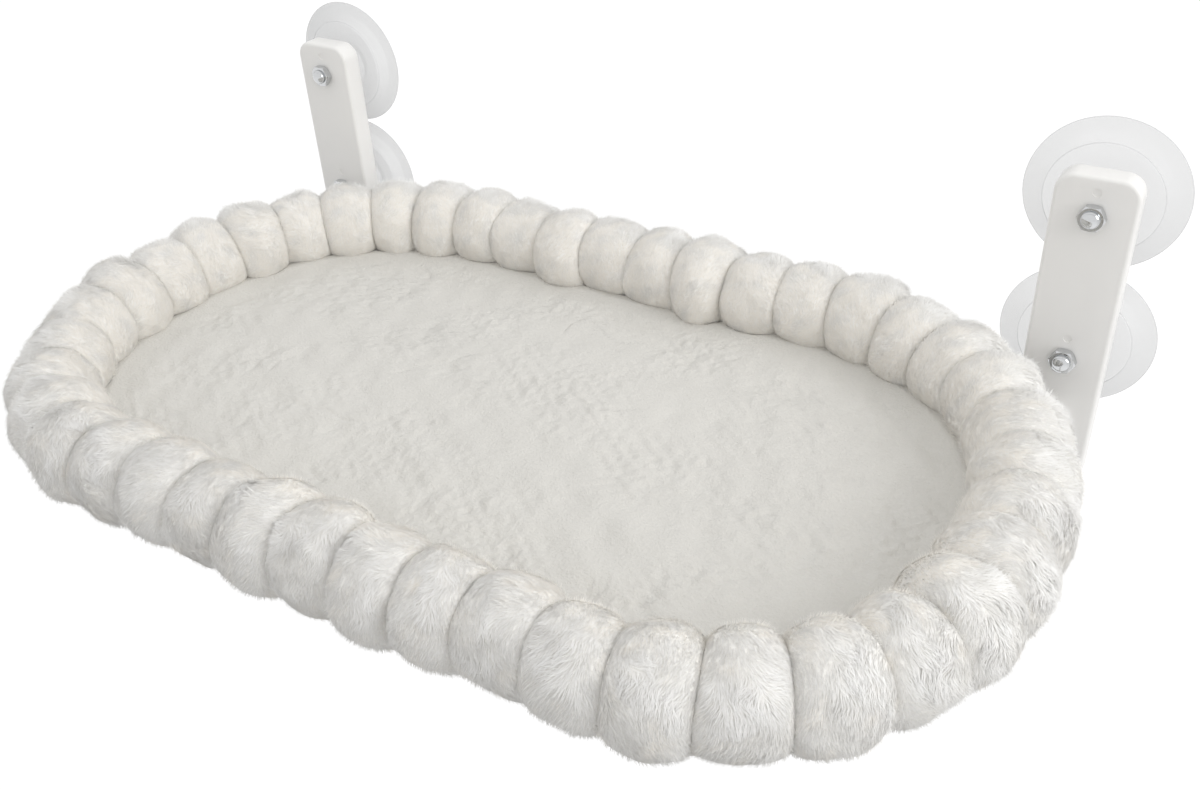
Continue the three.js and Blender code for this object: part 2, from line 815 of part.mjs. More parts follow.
for (const [side, sign] of Object.entries(sides)) {
  add(`${side}_arm`, arm(sign), finishes.plastic(), [sign * armX, 0, 0]);
  add(`${side}_gusset_bracket`, gussetBracket(sign), finishes.coated());
  for (const [level, up] of Object.entries(levels)) {
    const place = [sign * armX, 0, up * studZ];
    add(`${level}_${side}_suction_cup`, suctionCup(), finishes.clear(), place, facingRoom);
    add(`${level}_${side}_cup_stud`, cupStud(), finishes.zinc(), place, facingRoom);
    add(`${level}_${side}_acorn_nut`, acornNut(), finishes.chrome(), place, facingRoom);
    const screwPlace = [sign * bracketScrewX, 0, bracketScrewZs[level]];
    add(`${level}_${side}_bracket_screw`, bracketScrew(), finishes.zinc(), screwPlace, facingRoom);
  }
  const pivot = [0, pivotY, pivotZ];
  add(`${side}_hinge_bolt`, alongX(hingeBolt(), sign), finishes.zinc(), pivot);
  add(`${side}_hinge_nut`, alongX(hingeNut(), sign), finishes.zinc(), pivot);
  add(`${side}_hinge_washer`, alongX(hingeWasher(), sign), finishes.nylon(), pivot);
  add(`${side}_tube_coupler`, tubeCoupler(sign), finishes.zinc());
  for (const [half, { x, y }] of Object.entries(couplerScrewPlaces(sign))) {
    add(`${half}_${side}_coupler_screw`, couplerScrew(), finishes.zinc(), [x, y, tubeZ]);
  }
}

for (const half of ['front', 'rear']) {
  add(`${half}_frame_tube`, frameTube(half), finishes.coated());
}
add('sling', sling(), finishes.cloth());
add('pad', pad(), finishes.padPlush());
add('bolster', bolster(), finishes.plush());

export default perch;
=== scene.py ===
"""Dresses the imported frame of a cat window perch: plush bed, moulded arms, clear cups and studio."""

import json
import math
from contextlib import contextmanager

import bmesh
import bpy
import numpy as np
from bpy.props import FloatProperty, FloatVectorProperty, IntProperty, PointerProperty
from mathutils import Matrix, Vector


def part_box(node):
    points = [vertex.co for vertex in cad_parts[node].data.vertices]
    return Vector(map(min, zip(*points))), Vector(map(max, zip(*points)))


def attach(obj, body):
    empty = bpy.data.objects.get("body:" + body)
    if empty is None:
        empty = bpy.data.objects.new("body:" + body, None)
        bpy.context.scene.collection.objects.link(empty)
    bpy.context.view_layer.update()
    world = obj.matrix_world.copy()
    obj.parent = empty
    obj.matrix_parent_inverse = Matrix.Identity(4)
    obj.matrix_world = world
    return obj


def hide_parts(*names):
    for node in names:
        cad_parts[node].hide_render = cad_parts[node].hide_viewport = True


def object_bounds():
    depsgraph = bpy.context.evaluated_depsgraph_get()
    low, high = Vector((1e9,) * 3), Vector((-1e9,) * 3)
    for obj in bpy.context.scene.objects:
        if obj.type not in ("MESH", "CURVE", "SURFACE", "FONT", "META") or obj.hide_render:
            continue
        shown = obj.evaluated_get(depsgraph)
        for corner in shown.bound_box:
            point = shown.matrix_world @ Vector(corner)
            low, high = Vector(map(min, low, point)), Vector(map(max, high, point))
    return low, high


bl_info = {
    "name": "Cat Window Perch",
    "version": (1, 0, 0),
    "blender": (4, 5, 0),
    "location": "3D View > Sidebar > Perch",
    "description": "Plush bed, moulded arms, clear suction cups and studio for a folding window perch",
    "category": "Mesh",
}

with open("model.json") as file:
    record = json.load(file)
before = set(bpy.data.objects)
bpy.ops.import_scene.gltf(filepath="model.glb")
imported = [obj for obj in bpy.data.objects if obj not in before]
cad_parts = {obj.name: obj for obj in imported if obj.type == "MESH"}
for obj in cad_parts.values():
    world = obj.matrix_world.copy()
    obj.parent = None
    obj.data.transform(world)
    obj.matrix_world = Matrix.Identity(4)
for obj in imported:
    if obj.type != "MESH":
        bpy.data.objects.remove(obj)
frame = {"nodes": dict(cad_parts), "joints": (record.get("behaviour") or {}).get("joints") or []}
cad_low, cad_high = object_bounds()

MM = 0.001
FULL_TURN = 2 * math.pi
SAME_POINT = 1e-6  # metres within which points count as one
NEAR_POINT = 1e-5  # the same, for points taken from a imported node
SIDES = {"left": -1, "right": 1}
LEVELS = ("upper", "lower")

bolster_low, bolster_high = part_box("bolster")
pad_low, pad_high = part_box("pad")
sling_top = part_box("sling")[1].z
cup_low, cup_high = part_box("upper_right_suction_cup")
nut_low, nut_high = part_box("upper_right_acorn_nut")
stud_low, stud_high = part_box("upper_right_cup_stud")
gusset_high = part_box("right_gusset_bracket")[1]
tube_low, tube_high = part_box("front_frame_tube")
tube_radius = (tube_high.z - tube_low.z) / 2
tube_z = (tube_low.z + tube_high.z) / 2
cad_radius = (bolster_high.z - bolster_low.z) / 2
bolster_z = (bolster_high.z + bolster_low.z) / 2
pivot = Vector(frame["joints"][0]["pos_m"])
fold_angle = math.radians(frame["joints"][0]["range_deg"][1])

# Room that the cover, the pile and the hem leave for the hinges and the couplers

EAR_ROOM = 13 * MM  # round the pivot, for a bracket's ear
SLOT_AHEAD = 25 * MM  # from the pivot forward to the foot of the bracket's slot
LUG_ROOM = 11 * MM  # round the pivot, for a hinge lug
LUG_FOOT = (-145.1 * MM, -115.1 * MM)  # stretch in Y where a lug stands on the tube
LUG_INNER = 254.5 * MM  # inner end of the room for a lug, in X
BOLT_ROOM = 8 * MM  # round the pivot, for a hinge bolt's head and nut
BOLT_ENDS = (250 * MM, 274.9 * MM)  # the two ends of the room for a hinge bolt, in X
HINGE_NOTCH = (-158 * MM, -111 * MM)  # stretch in Y where the hem is notched for a hinge
SCREW_OPENING = (-216 * MM, -187 * MM)  # stretch in Y where it is open below for a coupler's screws
BED_END = 200 * MM  # the notches and openings lie further out than this, in X
gusset_inner = gusset_high.x - 3.5 * MM  # inner face of the right bracket's plate, in X
gusset_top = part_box("right_arm")[0].z + 56 * MM  # upper end of the brackets where they meet the arms


def length(name, default, description):
    return FloatProperty(
        name=name, description=description, default=default, min=0, unit="LENGTH", precision=4
    )


def coordinate(name, default, description):
    return FloatProperty(name=name, description=description, default=default, unit="LENGTH", precision=4)


def share(name, default, description):
    return FloatProperty(name=name, description=description, default=default, min=-1, max=2, subtype="FACTOR")


def amount(name, default, low, description):
    return FloatProperty(name=name, description=description, default=default, min=low)


def tilt(name, default, description):
    return FloatProperty(name=name, description=description, default=default, subtype="ANGLE")


def whole_number(name, default, low, description):
    return IntProperty(name=name, description=description, default=default, min=low)


def colour(name, default, description):
    return FloatVectorProperty(
        name=name, description=description, default=default, min=0, max=1, size=3, subtype="COLOR"
    )


def point(name, default, description):
    return FloatVectorProperty(
        name=name, description=description, default=default, size=3, subtype="TRANSLATION"
    )


class BolsterSettings(bpy.types.PropertyGroup):
    """Sizes of the stuffed ring"""

    half_width: length("Half width", bolster_high.x - cad_radius, "Half the ring's centre line across")
    rear: coordinate("Rear", bolster_high.y - cad_radius, "Rear of the centre line")
    front: coordinate("Front", bolster_low.y + cad_radius, "Front of the centre line")
    rear_corner: length("Rear corner", 155 * MM, "Radius of the two corners by the window")
    front_corner: length("Front corner", 135 * MM, "Radius of the two corners away from the window")
    puffs: whole_number("Puffs", 43, 3, "Stuffed channels round the ring")
    phase: share("Phase", -0.35, "Place of the first seam, as a share of a puff from the front's middle")
    radius: length("Radius", 27.2 * MM, "Radius of a puff under its pile")
    seam_radius: length("Seam radius", 20.6 * MM, "Radius of the ring at a seam")
    roundness: amount("Roundness", 1.85, 1, "Power of a puff's profile between its seams")
    rings: whole_number("Rings", 16, 4, "Rings of faces along one puff")
    sides: whole_number("Sides", 64, 8, "Faces round the ring")
    wander: length("Wander", 2 * MM, "How far a puff strays from its even place")


class PileSettings(bpy.types.PropertyGroup):
    """Sizes and colours of the pile on the bolster"""

    strands: whole_number("Strands", 12500, 10, "Strands of pile on one puff")
    length: length("Length", 5.2 * MM, "Length of the pile")
    radius: length("Radius", 0.3 * MM, "Half width of a strand at its root")
    clump: length("Clump", 4.2 * MM, "Distance between the clumps that raised pile gathers in")
    flat: tilt("Flat", 0.08, "Lift of smooth pile off the surface")
    raised: tilt("Raised", 0.24, "Lift of tufted pile off the surface")
    fuzz: share("Fuzz", 0.3, "Share of fine strands that stand off the rest")
    follow: share("Follow", 0.9, "How far the pile is shaded as the surface under it")
    # Painted warm bounce light: the pile on the ring's inner side is made lighter and warmer than the smooth
    # pile
    painted_warm_bounce: colour("Sheltered", (0.985, 0.96, 0.92), "Tint of the pile on the inner side of the ring")
    # Painted shade: the smooth pile is greyer than the white painted highlight on the lit tufts
    open: colour("Open", (0.86, 0.855, 0.845), "Tint of the smooth pile elsewhere, against white tufts")
    # Painted shade: the roots are darker and warmer, standing in for the shade deep in the pile
    root: colour("Root", (0.90, 0.885, 0.85), "Colour at the root of the pile")
    tip: colour("Tip", (0.96, 0.955, 0.94), "Colour at the tip of the pile")


class PadSettings(bpy.types.PropertyGroup):
    """Sizes and colour of the pad"""

    across: whole_number("Across", 440, 8, "Faces across the pad")
    along: whole_number("Along", 220, 8, "Faces from the pad's rear to its front")
    crown: length("Crown", 2.4 * MM, "Rise of the pad's middle over its edge")
    roll: length("Roll", 3.6 * MM, "Rise of the pad where the bolster squeezes it")
    tuck: length("Tuck", 7 * MM, "How far the pad's edge is pressed in under the bolster")
    crush: length("Crush", 1 * MM, "Depth of the marks in the crushed pile")
    tint: colour("Tint", (0.69, 0.675, 0.637), "Colour of the pad's pile")


class SlingSettings(bpy.types.PropertyGroup):
    """Sizes and colours of the cloth sling"""

    cloth: length("Cloth", 1 * MM, "Thickness of the cloth")
    inset: length("Inset", 8 * MM, "How far the tube lies inside the bolster's centre line")
    overlap: length("Overlap", 12 * MM, "Width of the hem's flat overlap under the panel")
    stations: whole_number("Stations", 400, 40, "Steps round the sling")
    gathers: length("Gathers", 0.22 * MM, "Depth of the gathers in the hem")
    stitch: length("Stitch", 3.2 * MM, "Length of a stitch")
    tint: colour("Tint", (0.84, 0.82, 0.77), "Colour of the cloth")
    thread: colour("Thread", (0.86, 0.85, 0.81), "Colour of the stitches")


class CupSettings(bpy.types.PropertyGroup):
    """Sizes of a suction cup and its stud, with heights off the glass"""

    steps: whole_number("Steps", 96, 12, "Steps round a cup")
    seal_width: length("Seal width", 9 * MM, "Width of the sealing ring")
    rim: length("Rim", 1.4 * MM, "Thickness of the cup's rim")
    dish: length("Dish", 3.4 * MM, "Height of the hollow under the cup")
    step_diameter: length("Step diameter", 62 * MM, "Diameter of the step on the cup's back")
    step_foot: length("Step foot", 6.7 * MM, "Height of the step's foot")
    step_top: length("Step top", 8.4 * MM, "Height of the step's top")
    boss_diameter: length("Boss diameter", 28 * MM, "Diameter of the boss that holds the stud")
    skirt: length("Skirt", 3.5 * MM, "Width of the slope round the boss")
    skirt_foot: length("Skirt foot", 7.3 * MM, "Height of the slope's foot")
    skirt_top: length("Skirt top", 9.5 * MM, "Height of the slope's top")
    softness: length("Softness", 0.7 * MM, "Radius of the cup's moulded corners")
    shank: length("Shank", 4 * MM, "Radius of a stud")
    head: length("Head", 2.6 * MM, "Thickness of a stud's head")
    head_edge: length("Head edge", 0.4 * MM, "Radius of a stud's edges")
    clearance: length("Clearance", 0.25 * MM, "Gap between a cup and its stud")


class NutSettings(bpy.types.PropertyGroup):
    """Sizes of a dome nut"""

    hexagon: length("Hexagon", 5 * MM, "Height of the hexagon")
    chamfer: length("Chamfer", 1.1 * MM, "Height of the turned-off corners")
    neck: length("Neck", 0.6 * MM, "Height of the neck under the dome")
    dome: length("Dome", 4.9 * MM, "Radius of the dome")
    bore: length("Bore", 4.25 * MM, "Radius of the hole for the stud")
    bore_depth: length("Bore depth", 7.2 * MM, "Depth of the hole for the stud")


class ArmSettings(bpy.types.PropertyGroup):
    """Sizes of an arm"""

    corner: length("Corner", 10.5 * MM, "Radius of the arm's four corners")
    edge: length("Edge", 2.2 * MM, "Radius of the arm's front and back edges")
    wall: length("Wall", 3 * MM, "Wall round the cored back")
    core_depth: length("Core depth", 10 * MM, "Depth of the cored back")
    rib: length("Rib", 2.4 * MM, "Thickness of the ribs between the studs")
    stud_bore: length("Stud bore", 4.3 * MM, "Radius of a stud hole")
    stud_pad: length("Stud pad", 13 * MM, "Solid plastic below a stud's axis")
    screw_bore: length("Screw bore", 2.5 * MM, "Radius of a bracket screw's hole")
    screw_pad: length("Screw pad", 5.5 * MM, "Solid plastic above the upper bracket screw's axis")
    locator: length("Locator", 4.7 * MM, "Diameter of a locating hole")
    locator_above: length("Locator above", 12.8 * MM, "Height of a locating hole over its stud")
    locator_depth: length("Locator depth", 0.5 * MM, "Depth of a locating hole to the peg in it")


class MetalworkSettings(bpy.types.PropertyGroup):
    """Radii of the softened edges on the metalwork"""

    plate_edge: length("Plate edge", 0.5 * MM, "Radius on the brackets and their screws")
    bolt_edge: length("Bolt edge", 0.4 * MM, "Radius on the hinge bolts, their nuts and the small screws")
    coupler_edge: length("Coupler edge", 0.3 * MM, "Radius on the tube couplers")
    washer_edge: length("Washer edge", 0.15 * MM, "Radius on the hinge washers")


class FinishSettings(bpy.types.PropertyGroup):
    """Colours of the hard pieces"""

    plastic: colour("Plastic", (0.86, 0.85, 0.83), "Colour of the moulded arms")
    vinyl: colour("Vinyl", (0.4, 0.405, 0.41), "Tint of the clear cups")
    chrome: colour("Chrome", (0.62, 0.63, 0.64), "Colour of the dome nuts")
    zinc: colour("Zinc", (0.66, 0.67, 0.68), "Colour of the studs, bolts, screws and couplers")
    coating: colour("Coating", (0.80, 0.795, 0.78), "Colour of the brackets and the tubes")
    nylon: colour("Nylon", (0.80, 0.78, 0.70), "Colour of the hinge washers")


class StageSettings(bpy.types.PropertyGroup):
    """Camera, floor and light"""

    camera: point("Camera", (0.3451, -0.6330, 0.3255), "Place of the camera")
    yaw: tilt("Yaw", math.radians(32.877), "Turn of the camera from +Y")
    pitch: tilt("Pitch", math.radians(34.321), "Camera's tilt down")
    roll: tilt("Roll", math.radians(3.188), "Camera's roll")
    sensor: amount("Sensor", 36, 1, "Width of the camera's sensor in millimetres")
    focal: amount("Focal", 35.815, 1, "Focal length in millimetres")
    floor: coordinate("Floor", -0.9, "Height of the floor")
    floor_size: length("Floor size", 12, "Width of the floor")
    floor_glow: amount("Floor glow", 0.57, 0, "Brightness of the floor to the camera, mirrors and glass")
    fill: amount("Fill", 0.91, 0, "Strength of the soft light all round")
    fill_below: amount("Fill below", 0.82, 0, "Share of the fill that comes from straight below")
    fill_above: amount("Fill above", 1.1, 0, "Share of the fill that comes from straight above")
    lamp: point("Lamp", (1.7, -0.2, 0.8), "Place of the key light")
    lamp_size: length("Lamp size", 1.2, "Diameter of the key light")
    key: amount("Key", 13, 0, "Power of the key light in watts")


# Small helpers for pieces


def linked(name, data):
    """A new object of a mesh, lamp or camera, put in the scene."""
    made = bpy.data.objects.new(name, data)
    bpy.context.scene.collection.objects.link(made)
    return made


def only(piece):
    """Selects one piece and makes it the active one."""
    bpy.ops.object.select_all(action="DESELECT")
    piece.select_set(True)
    bpy.context.view_layer.objects.active = piece


@contextmanager
def editing(piece, select="SELECT"):
    """Edit mode on one piece, with all of it selected at first, or none."""
    only(piece)
    bpy.ops.object.mode_set(mode="EDIT")
    bpy.ops.mesh.select_all(action=select)
    yield
    bpy.ops.object.mode_set(mode="OBJECT")


def apply_modifiers(piece):
    only(piece)
    for modifier in list(piece.modifiers):
        bpy.ops.object.modifier_apply(modifier=modifier.name)


def settle(piece):
    """Puts a piece's place, turn and scale into its mesh."""
    only(piece)
    bpy.ops.object.transform_apply(location=True, rotation=True, scale=True)


def face_out(piece):
    """Merges doubles and turns all faces outwards."""
    with editing(piece):
        bpy.ops.mesh.remove_doubles(threshold=SAME_POINT)
        bpy.ops.mesh.normals_make_consistent(inside=False)


def smooth(piece, degrees):
    """Shades a piece smooth, except at edges that turn by more than an angle."""
    only(piece)
    bpy.ops.object.shade_smooth_by_angle(angle=math.radians(degrees))


def piece_of(name, points, faces):
    mesh = bpy.data.meshes.new(name)
    mesh.from_pydata([tuple(p) for p in points], [], faces)
    return linked(name, mesh)


def dress(piece, body, slot, material, *nodes):
    """Gives a finished piece its material, its body and the nodes that it stands for. The slot is not used.
    """
    piece.data.materials.clear()
    piece.data.materials.append(material)
    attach(piece, body)
    if nodes:
        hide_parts(*nodes)
    return piece


def cut_with(piece, cutters, operation="DIFFERENCE"):
    """Cuts, joins or intersects a piece with each cutter in turn, and removes the cutters."""
    for cutter in cutters:
        modifier = piece.modifiers.new("cut", "BOOLEAN")
        modifier.object = cutter
        modifier.operation = operation
        modifier.solver = "EXACT"
        apply_modifiers(piece)
        bpy.data.objects.remove(cutter)


def prism(outline, low, high):
    """A closed prism across X, with its outline in (y, z) points."""
    count = len(outline)
    points = [(x, y, z) for x in (low, high) for y, z in outline]
    around = [(i, (i + 1) % count) for i in range(count)]
    faces = [(a, b, count + b, count + a) for a, b in around]
    faces += [tuple(range(count))[::-1], tuple(range(count, 2 * count))]
    piece = piece_of("room", points, faces)
    face_out(piece)
    return piece


def block(name, low, high):
    """A box between two corners."""
    bpy.ops.object.select_all(action="DESELECT")
    bpy.ops.mesh.primitive_cube_add(size=1)
    made = bpy.context.active_object
    made.name = made.data.name = name
    made.scale = high - low
    made.location = (low + high) / 2
    settle(made)
    return made


def turned(name, profile, steps, place=(0, 0, 0)):
    """Spins a profile of (radius, height) points, with the height towards -Y, and moves it to its place."""
    mesh = bpy.data.meshes.new(name)
    mesh.from_pydata([(r, -h, 0) for r, h in profile], [(i, i + 1) for i in range(len(profile) - 1)], [])
    piece = linked(name, mesh)
    with editing(piece):
        bpy.ops.mesh.spin(steps=steps, angle=FULL_TURN, center=(0, 0, 0), axis=(0, 1, 0))
    face_out(piece)
    piece.location = place
    settle(piece)
    return piece


def rounded(profile, radius):
    """Rounds the corners of a profile of (radius, height) points that are away from its axis."""
    steps = 4
    most = 0.45  # share of a side that the rounding of one of its corners may take
    points = [Vector(p) for p in profile]
    result = []
    for i, corner in enumerate(points):
        if i in (0, len(points) - 1) or corner.x < SAME_POINT:
            result.append(corner)
            continue
        back, ahead = points[i - 1] - corner, points[i + 1] - corner
        reach = min(radius, back.length * most, ahead.length * most)
        start, end = corner + back.normalized() * reach, corner + ahead.normalized() * reach
        for step in range(steps + 1):
            t = step / steps
            result.append(start * (1 - t) ** 2 + corner * 2 * t * (1 - t) + end * t**2)
    return [(p.x, p.y) for p in result]


# The bed's outline and the surfaces that follow it


class Outline:
    """The ring's centre line, drawn in by an inset. Distances run from the front's middle, towards +X."""

    def __init__(self, bolster, inset=0.0):
        self.half_width = bolster.half_width - inset
        self.rear = bolster.rear - inset
        self.front = bolster.front + inset
        self.rear_corner = bolster.rear_corner - inset
        self.front_corner = bolster.front_corner - inset
        self.front_run = self.half_width - self.front_corner
        self.front_arc = self.front_corner * math.pi / 2
        self.side_run = self.rear - self.rear_corner - self.front - self.front_corner
        self.rear_arc = self.rear_corner * math.pi / 2
        self.rear_run = self.half_width - self.rear_corner
        self.half = self.front_run + self.front_arc + self.side_run + self.rear_arc + self.rear_run
        self.centre = np.array([0.0, (self.rear + self.front) / 2])

    def at(self, along):
        """Points (x, y) and outward normals (x, y) at distances along the ring."""
        along = np.asarray(along, float)
        wrapped = along - 2 * self.half * np.round(along / (2 * self.half))
        sign = np.where(wrapped < 0, -1.0, 1.0)
        rest = np.abs(wrapped)
        none = 0 * rest
        ends = np.cumsum([self.front_run, self.front_arc, self.side_run, self.rear_arc])
        where = [rest < end for end in ends]
        front_turn = (rest - ends[0]) / self.front_corner - math.pi / 2
        rear_turn = (rest - ends[2]) / self.rear_corner
        nx = np.select(where, [none, np.cos(front_turn), none + 1, np.cos(rear_turn)], 0.0)
        ny = np.select(where, [none - 1, np.sin(front_turn), none, np.sin(rear_turn)], 1.0)
        front_x = self.front_run + self.front_corner * nx
        rear_x = self.rear_run + self.rear_corner * nx
        last_x = self.rear_run - (rest - ends[3])
        x = np.select(where, [rest, front_x, none + self.half_width, rear_x], last_x)
        side_y = self.front + self.front_corner
        front_y = side_y + self.front_corner * ny
        rear_y = self.rear - self.rear_corner + self.rear_corner * ny
        y = np.select(where, [none + self.front, front_y, side_y + rest - ends[1], rear_y], self.rear)
        return np.stack([sign * x, y], -1), np.stack([sign * nx, ny], -1)


def waves(points, wavelength, seed, count=12):
    """Smooth seeded noise of about unit size at points, made of plane waves of about one wavelength."""
    rng = np.random.default_rng(seed)
    directions = rng.normal(size=(count, 3))
    directions /= np.linalg.norm(directions, axis=1)[:, None]
    pitch = wavelength * rng.uniform(0.7, 1.5, count)
    phases = rng.uniform(0, FULL_TURN, count)
    total = np.zeros(points.shape[:-1])
    for direction, length_, phase in zip(directions, pitch, phases):
        total += np.sin(points @ direction * (FULL_TURN / length_) + phase)
    return total * math.sqrt(2 / count)


def unit(vectors):
    return vectors / np.maximum(np.linalg.norm(vectors, axis=-1, keepdims=True), 1e-12)


def at_height(xy, z):
    """Points (x, y) raised to one height, or each to its own."""
    return np.concatenate([xy, np.broadcast_to(z, len(xy))[:, None]], 1)


def ring_quads(rows, columns, closed):
    """Quads of a grid whose rows are rings, and which may also close from its last row to its first."""
    i, j = np.meshgrid(np.arange(rows if closed else rows - 1), np.arange(columns), indexing="ij")
    ahead, beside = (i + 1) % rows, (j + 1) % columns
    quads = [i * columns + j, ahead * columns + j, ahead * columns + beside, i * columns + beside]
    return np.stack(quads, -1).reshape(-1, 4)


def puff_strays(bolster):
    """How each puff differs: its plumpness, its first seam's tilt, and its shift outwards and upwards."""
    rng = np.random.default_rng(43)
    plump = 1 + 0.042 * rng.normal(size=bolster.puffs).clip(-1.6, 1.6)
    tilts = rng.normal(size=(bolster.puffs, 2)).clip(-1.5, 1.5) * bolster.wander * 0.6
    shifts = rng.normal(size=(bolster.puffs, 2)).clip(-1.5, 1.5) * bolster.wander * 0.7
    return plump, tilts, shifts


def puff_bulge(bolster, t):
    """Fullness of a puff, from 0 at its seams to 1 in its middle, at a share t of its length."""
    return (1 - np.abs(2 * t - 1) ** bolster.roundness) ** (1 / bolster.roundness)


def puff_radius(bolster, plump, bulge):
    """Radius of a puff, which grows from the seam's as it bulges."""
    return bolster.seam_radius + (bolster.radius * plump - bolster.seam_radius) * bulge


def towards_seams(even):
    """Even shares of a puff's length, moved towards its seams, where its surface turns fastest."""
    return (1 - np.cos(math.pi * even)) / 2


def bolster_grid(bolster):
    """The cover's points: one row for each station along the ring, one column for each side round it."""
    plump, tilts, shifts = puff_strays(bolster)
    outline = Outline(bolster)
    pitch = 2 * outline.half / bolster.puffs
    puff = np.repeat(np.arange(bolster.puffs), bolster.rings)
    t = np.tile(towards_seams(np.arange(bolster.rings) / bolster.rings), bolster.puffs)
    bulge = puff_bulge(bolster, t)
    full = puff_radius(bolster, plump[puff], bulge)[:, None]

    angle = FULL_TURN * np.arange(bolster.sides) / bolster.sides
    turn = np.stack([np.cos(angle), np.sin(angle)])
    here, ahead = tilts @ turn, np.roll(tilts, -1, 0) @ turn
    slide = here[puff] * (1 - t[:, None]) + ahead[puff] * t[:, None]
    middle, normal = outline.at(((puff + bolster.phase + t) * pitch)[:, None] + slide)

    resting = cad_radius - 0.2 * MM  # radius that the underside is pressed out to, on the sling
    pressed = np.clip((-turn[1] - 0.8) / 0.2, 0, 1)
    radius = full + (resting - full) * pressed**2 * (3 - 2 * pressed)
    out = radius * turn[0] + (shifts[puff, 0] * bulge)[:, None]
    up = radius * turn[1] + (np.abs(shifts[puff, 1]) * bulge)[:, None] * np.clip(turn[1], 0, 1)
    points = np.concatenate([middle + normal * out[..., None], (bolster_z + up)[..., None]], -1)

    fade = 10 * MM  # height over which the lumps come in above the flat underside
    lumps = waves(points, 26 * MM, 5) * 0.5 * MM + waves(points, 10 * MM, 6) * 0.18 * MM
    lumps *= np.clip((points[..., 2] - bolster_low.z) / fade, 0, 1)
    outward = np.concatenate([normal * turn[0][None, :, None], (turn[1] + 0 * out)[..., None]], -1)
    return points + unit(outward) * lumps[..., None]


def grid_frames(grid):
    """Normals, directions along the ring and directions round it, at each point of a closed grid."""
    along = np.roll(grid, -1, 0) - np.roll(grid, 1, 0)
    around = np.roll(grid, -1, 1) - np.roll(grid, 1, 1)
    normal = unit(np.cross(along, around))
    return normal, unit(along), unit(around)


def about_pivot(radius, start, end, count, closed=True):
    """Points (y, z) on an arc about the pivot, from one angle to another."""
    turns = np.linspace(start, end, count, endpoint=closed)
    return [(pivot.y + radius * math.cos(a), pivot.z + radius * math.sin(a)) for a in turns]


def slot_outline(margin):
    """The swept sector that each bracket's ear needs as the bed folds, in (y, z) points."""
    ear = EAR_ROOM + margin
    reach = 2 * cad_radius + margin
    across, up = -abs(gusset_high.y) - pivot.y, gusset_top - pivot.z
    tangent = math.atan2(up, across) + math.acos(ear / math.hypot(across, up)) + fold_angle
    upper = tangent - math.acos(ear / reach)
    points = about_pivot(reach, -math.pi / 2, upper, 12) + about_pivot(ear, tangent, math.pi, 8)
    return points + [(pivot.y - SLOT_AHEAD - margin, tube_low.z)]


def lug_outline(margin):
    """The room for a hinge lug that stands on the tube, in (y, z) points."""
    ahead, behind = LUG_FOOT[0] - margin, LUG_FOOT[1] + margin
    arc = about_pivot(LUG_ROOM + margin, -0.25 * math.pi, 0.83 * math.pi, 12)
    return arc + [(ahead, tube_high.z + margin), (ahead, tube_low.z), (behind, tube_low.z)]


def hinge_rooms(margin):
    """The (outline, low x, high x) rooms for the hinge on the right side."""
    bolt = about_pivot(BOLT_ROOM + margin, 0, FULL_TURN, 24, closed=False)
    return [
        (slot_outline(margin), gusset_inner - MM - margin, gusset_high.x + MM + margin),
        (lug_outline(MM + margin), LUG_INNER - margin, gusset_inner),
        (bolt, BOLT_ENDS[0] - margin, BOLT_ENDS[1] + margin),
    ]


def inside_outline(y, z, outline):
    """Which (y, z) points lie inside a closed outline."""
    inside = np.zeros(y.shape, bool)
    for (y0, z0), (y1, z1) in zip(outline, outline[1:] + outline[:1]):
        if z0 == z1:
            continue
        crosses = (z0 > z) != (z1 > z)
        inside ^= crosses & (y < (y1 - y0) * (z - z0) / (z1 - z0) + y0)
    return inside


def in_hinge_room(points, margin):
    """Which points lie in the room for a hinge, on either side."""
    x = np.abs(points[..., 0])
    found = np.zeros(points.shape[:-1], bool)
    for outline, low, high in hinge_rooms(margin):
        found |= (x > low) & (x < high) & inside_outline(points[..., 1], points[..., 2], outline)
    return found


def mesh_from_arrays(name, points, loops, sizes):
    """A piece from numpy arrays: the points, each face's corners in turn and each face's corner count."""
    mesh = bpy.data.meshes.new(name)
    mesh.vertices.add(len(points))
    mesh.vertices.foreach_set("co", points.astype(np.float32).ravel())
    mesh.loops.add(len(loops))
    mesh.loops.foreach_set("vertex_index", loops.astype(np.int32))
    mesh.polygons.add(len(sizes))
    starts = np.concatenate([[0], np.cumsum(sizes)[:-1]])
    mesh.polygons.foreach_set("loop_start", starts.astype(np.int32))
    mesh.update(calc_edges=True)
    return linked(name, mesh)


def pile_piece(name, strands):
    """Pointed strands with a low ridge, closed below, which are shaded much as the surface under them."""
    roots, tips, across, over, upper, under, tone = strands
    count = len(roots)
    points = np.stack([roots + across, roots + over, roots - across, tips], 1)
    first = (np.arange(count) * 4)[:, None]
    loops = (first + np.array([1, 0, 3, 2, 1, 3, 0, 2, 3])).ravel()
    piece = mesh_from_arrays(name, points.reshape(-1, 3), loops, np.full(3 * count, 3))
    mesh = piece.data
    height = np.tile([0.02, 0.02, 0.02, 0.98], count)
    shade = (np.repeat(tone, 4) + np.tile([-0.02, 0.02, 0, 0], count)).clip(0.001, 0.999)
    for label, values in (("up_the_pile", height), ("pile_tone", shade)):
        mesh.attributes.new(label, "FLOAT", "POINT").data.foreach_set("value", values.astype(np.float32))
    layer = mesh.uv_layers.new(name="OFBake")
    layer.data.foreach_set("uv", np.stack([shade[loops], height[loops]], -1).astype(np.float32).ravel())
    only(piece)
    bpy.ops.object.shade_smooth()
    sides = np.repeat(upper, 6, 0).reshape(-1, 18)
    below = np.repeat(under, 3, 0).reshape(-1, 9)
    mesh.normals_split_custom_set(np.concatenate([sides, below], 1).reshape(-1, 3).astype(np.float32))
    return piece


# Node groups and materials


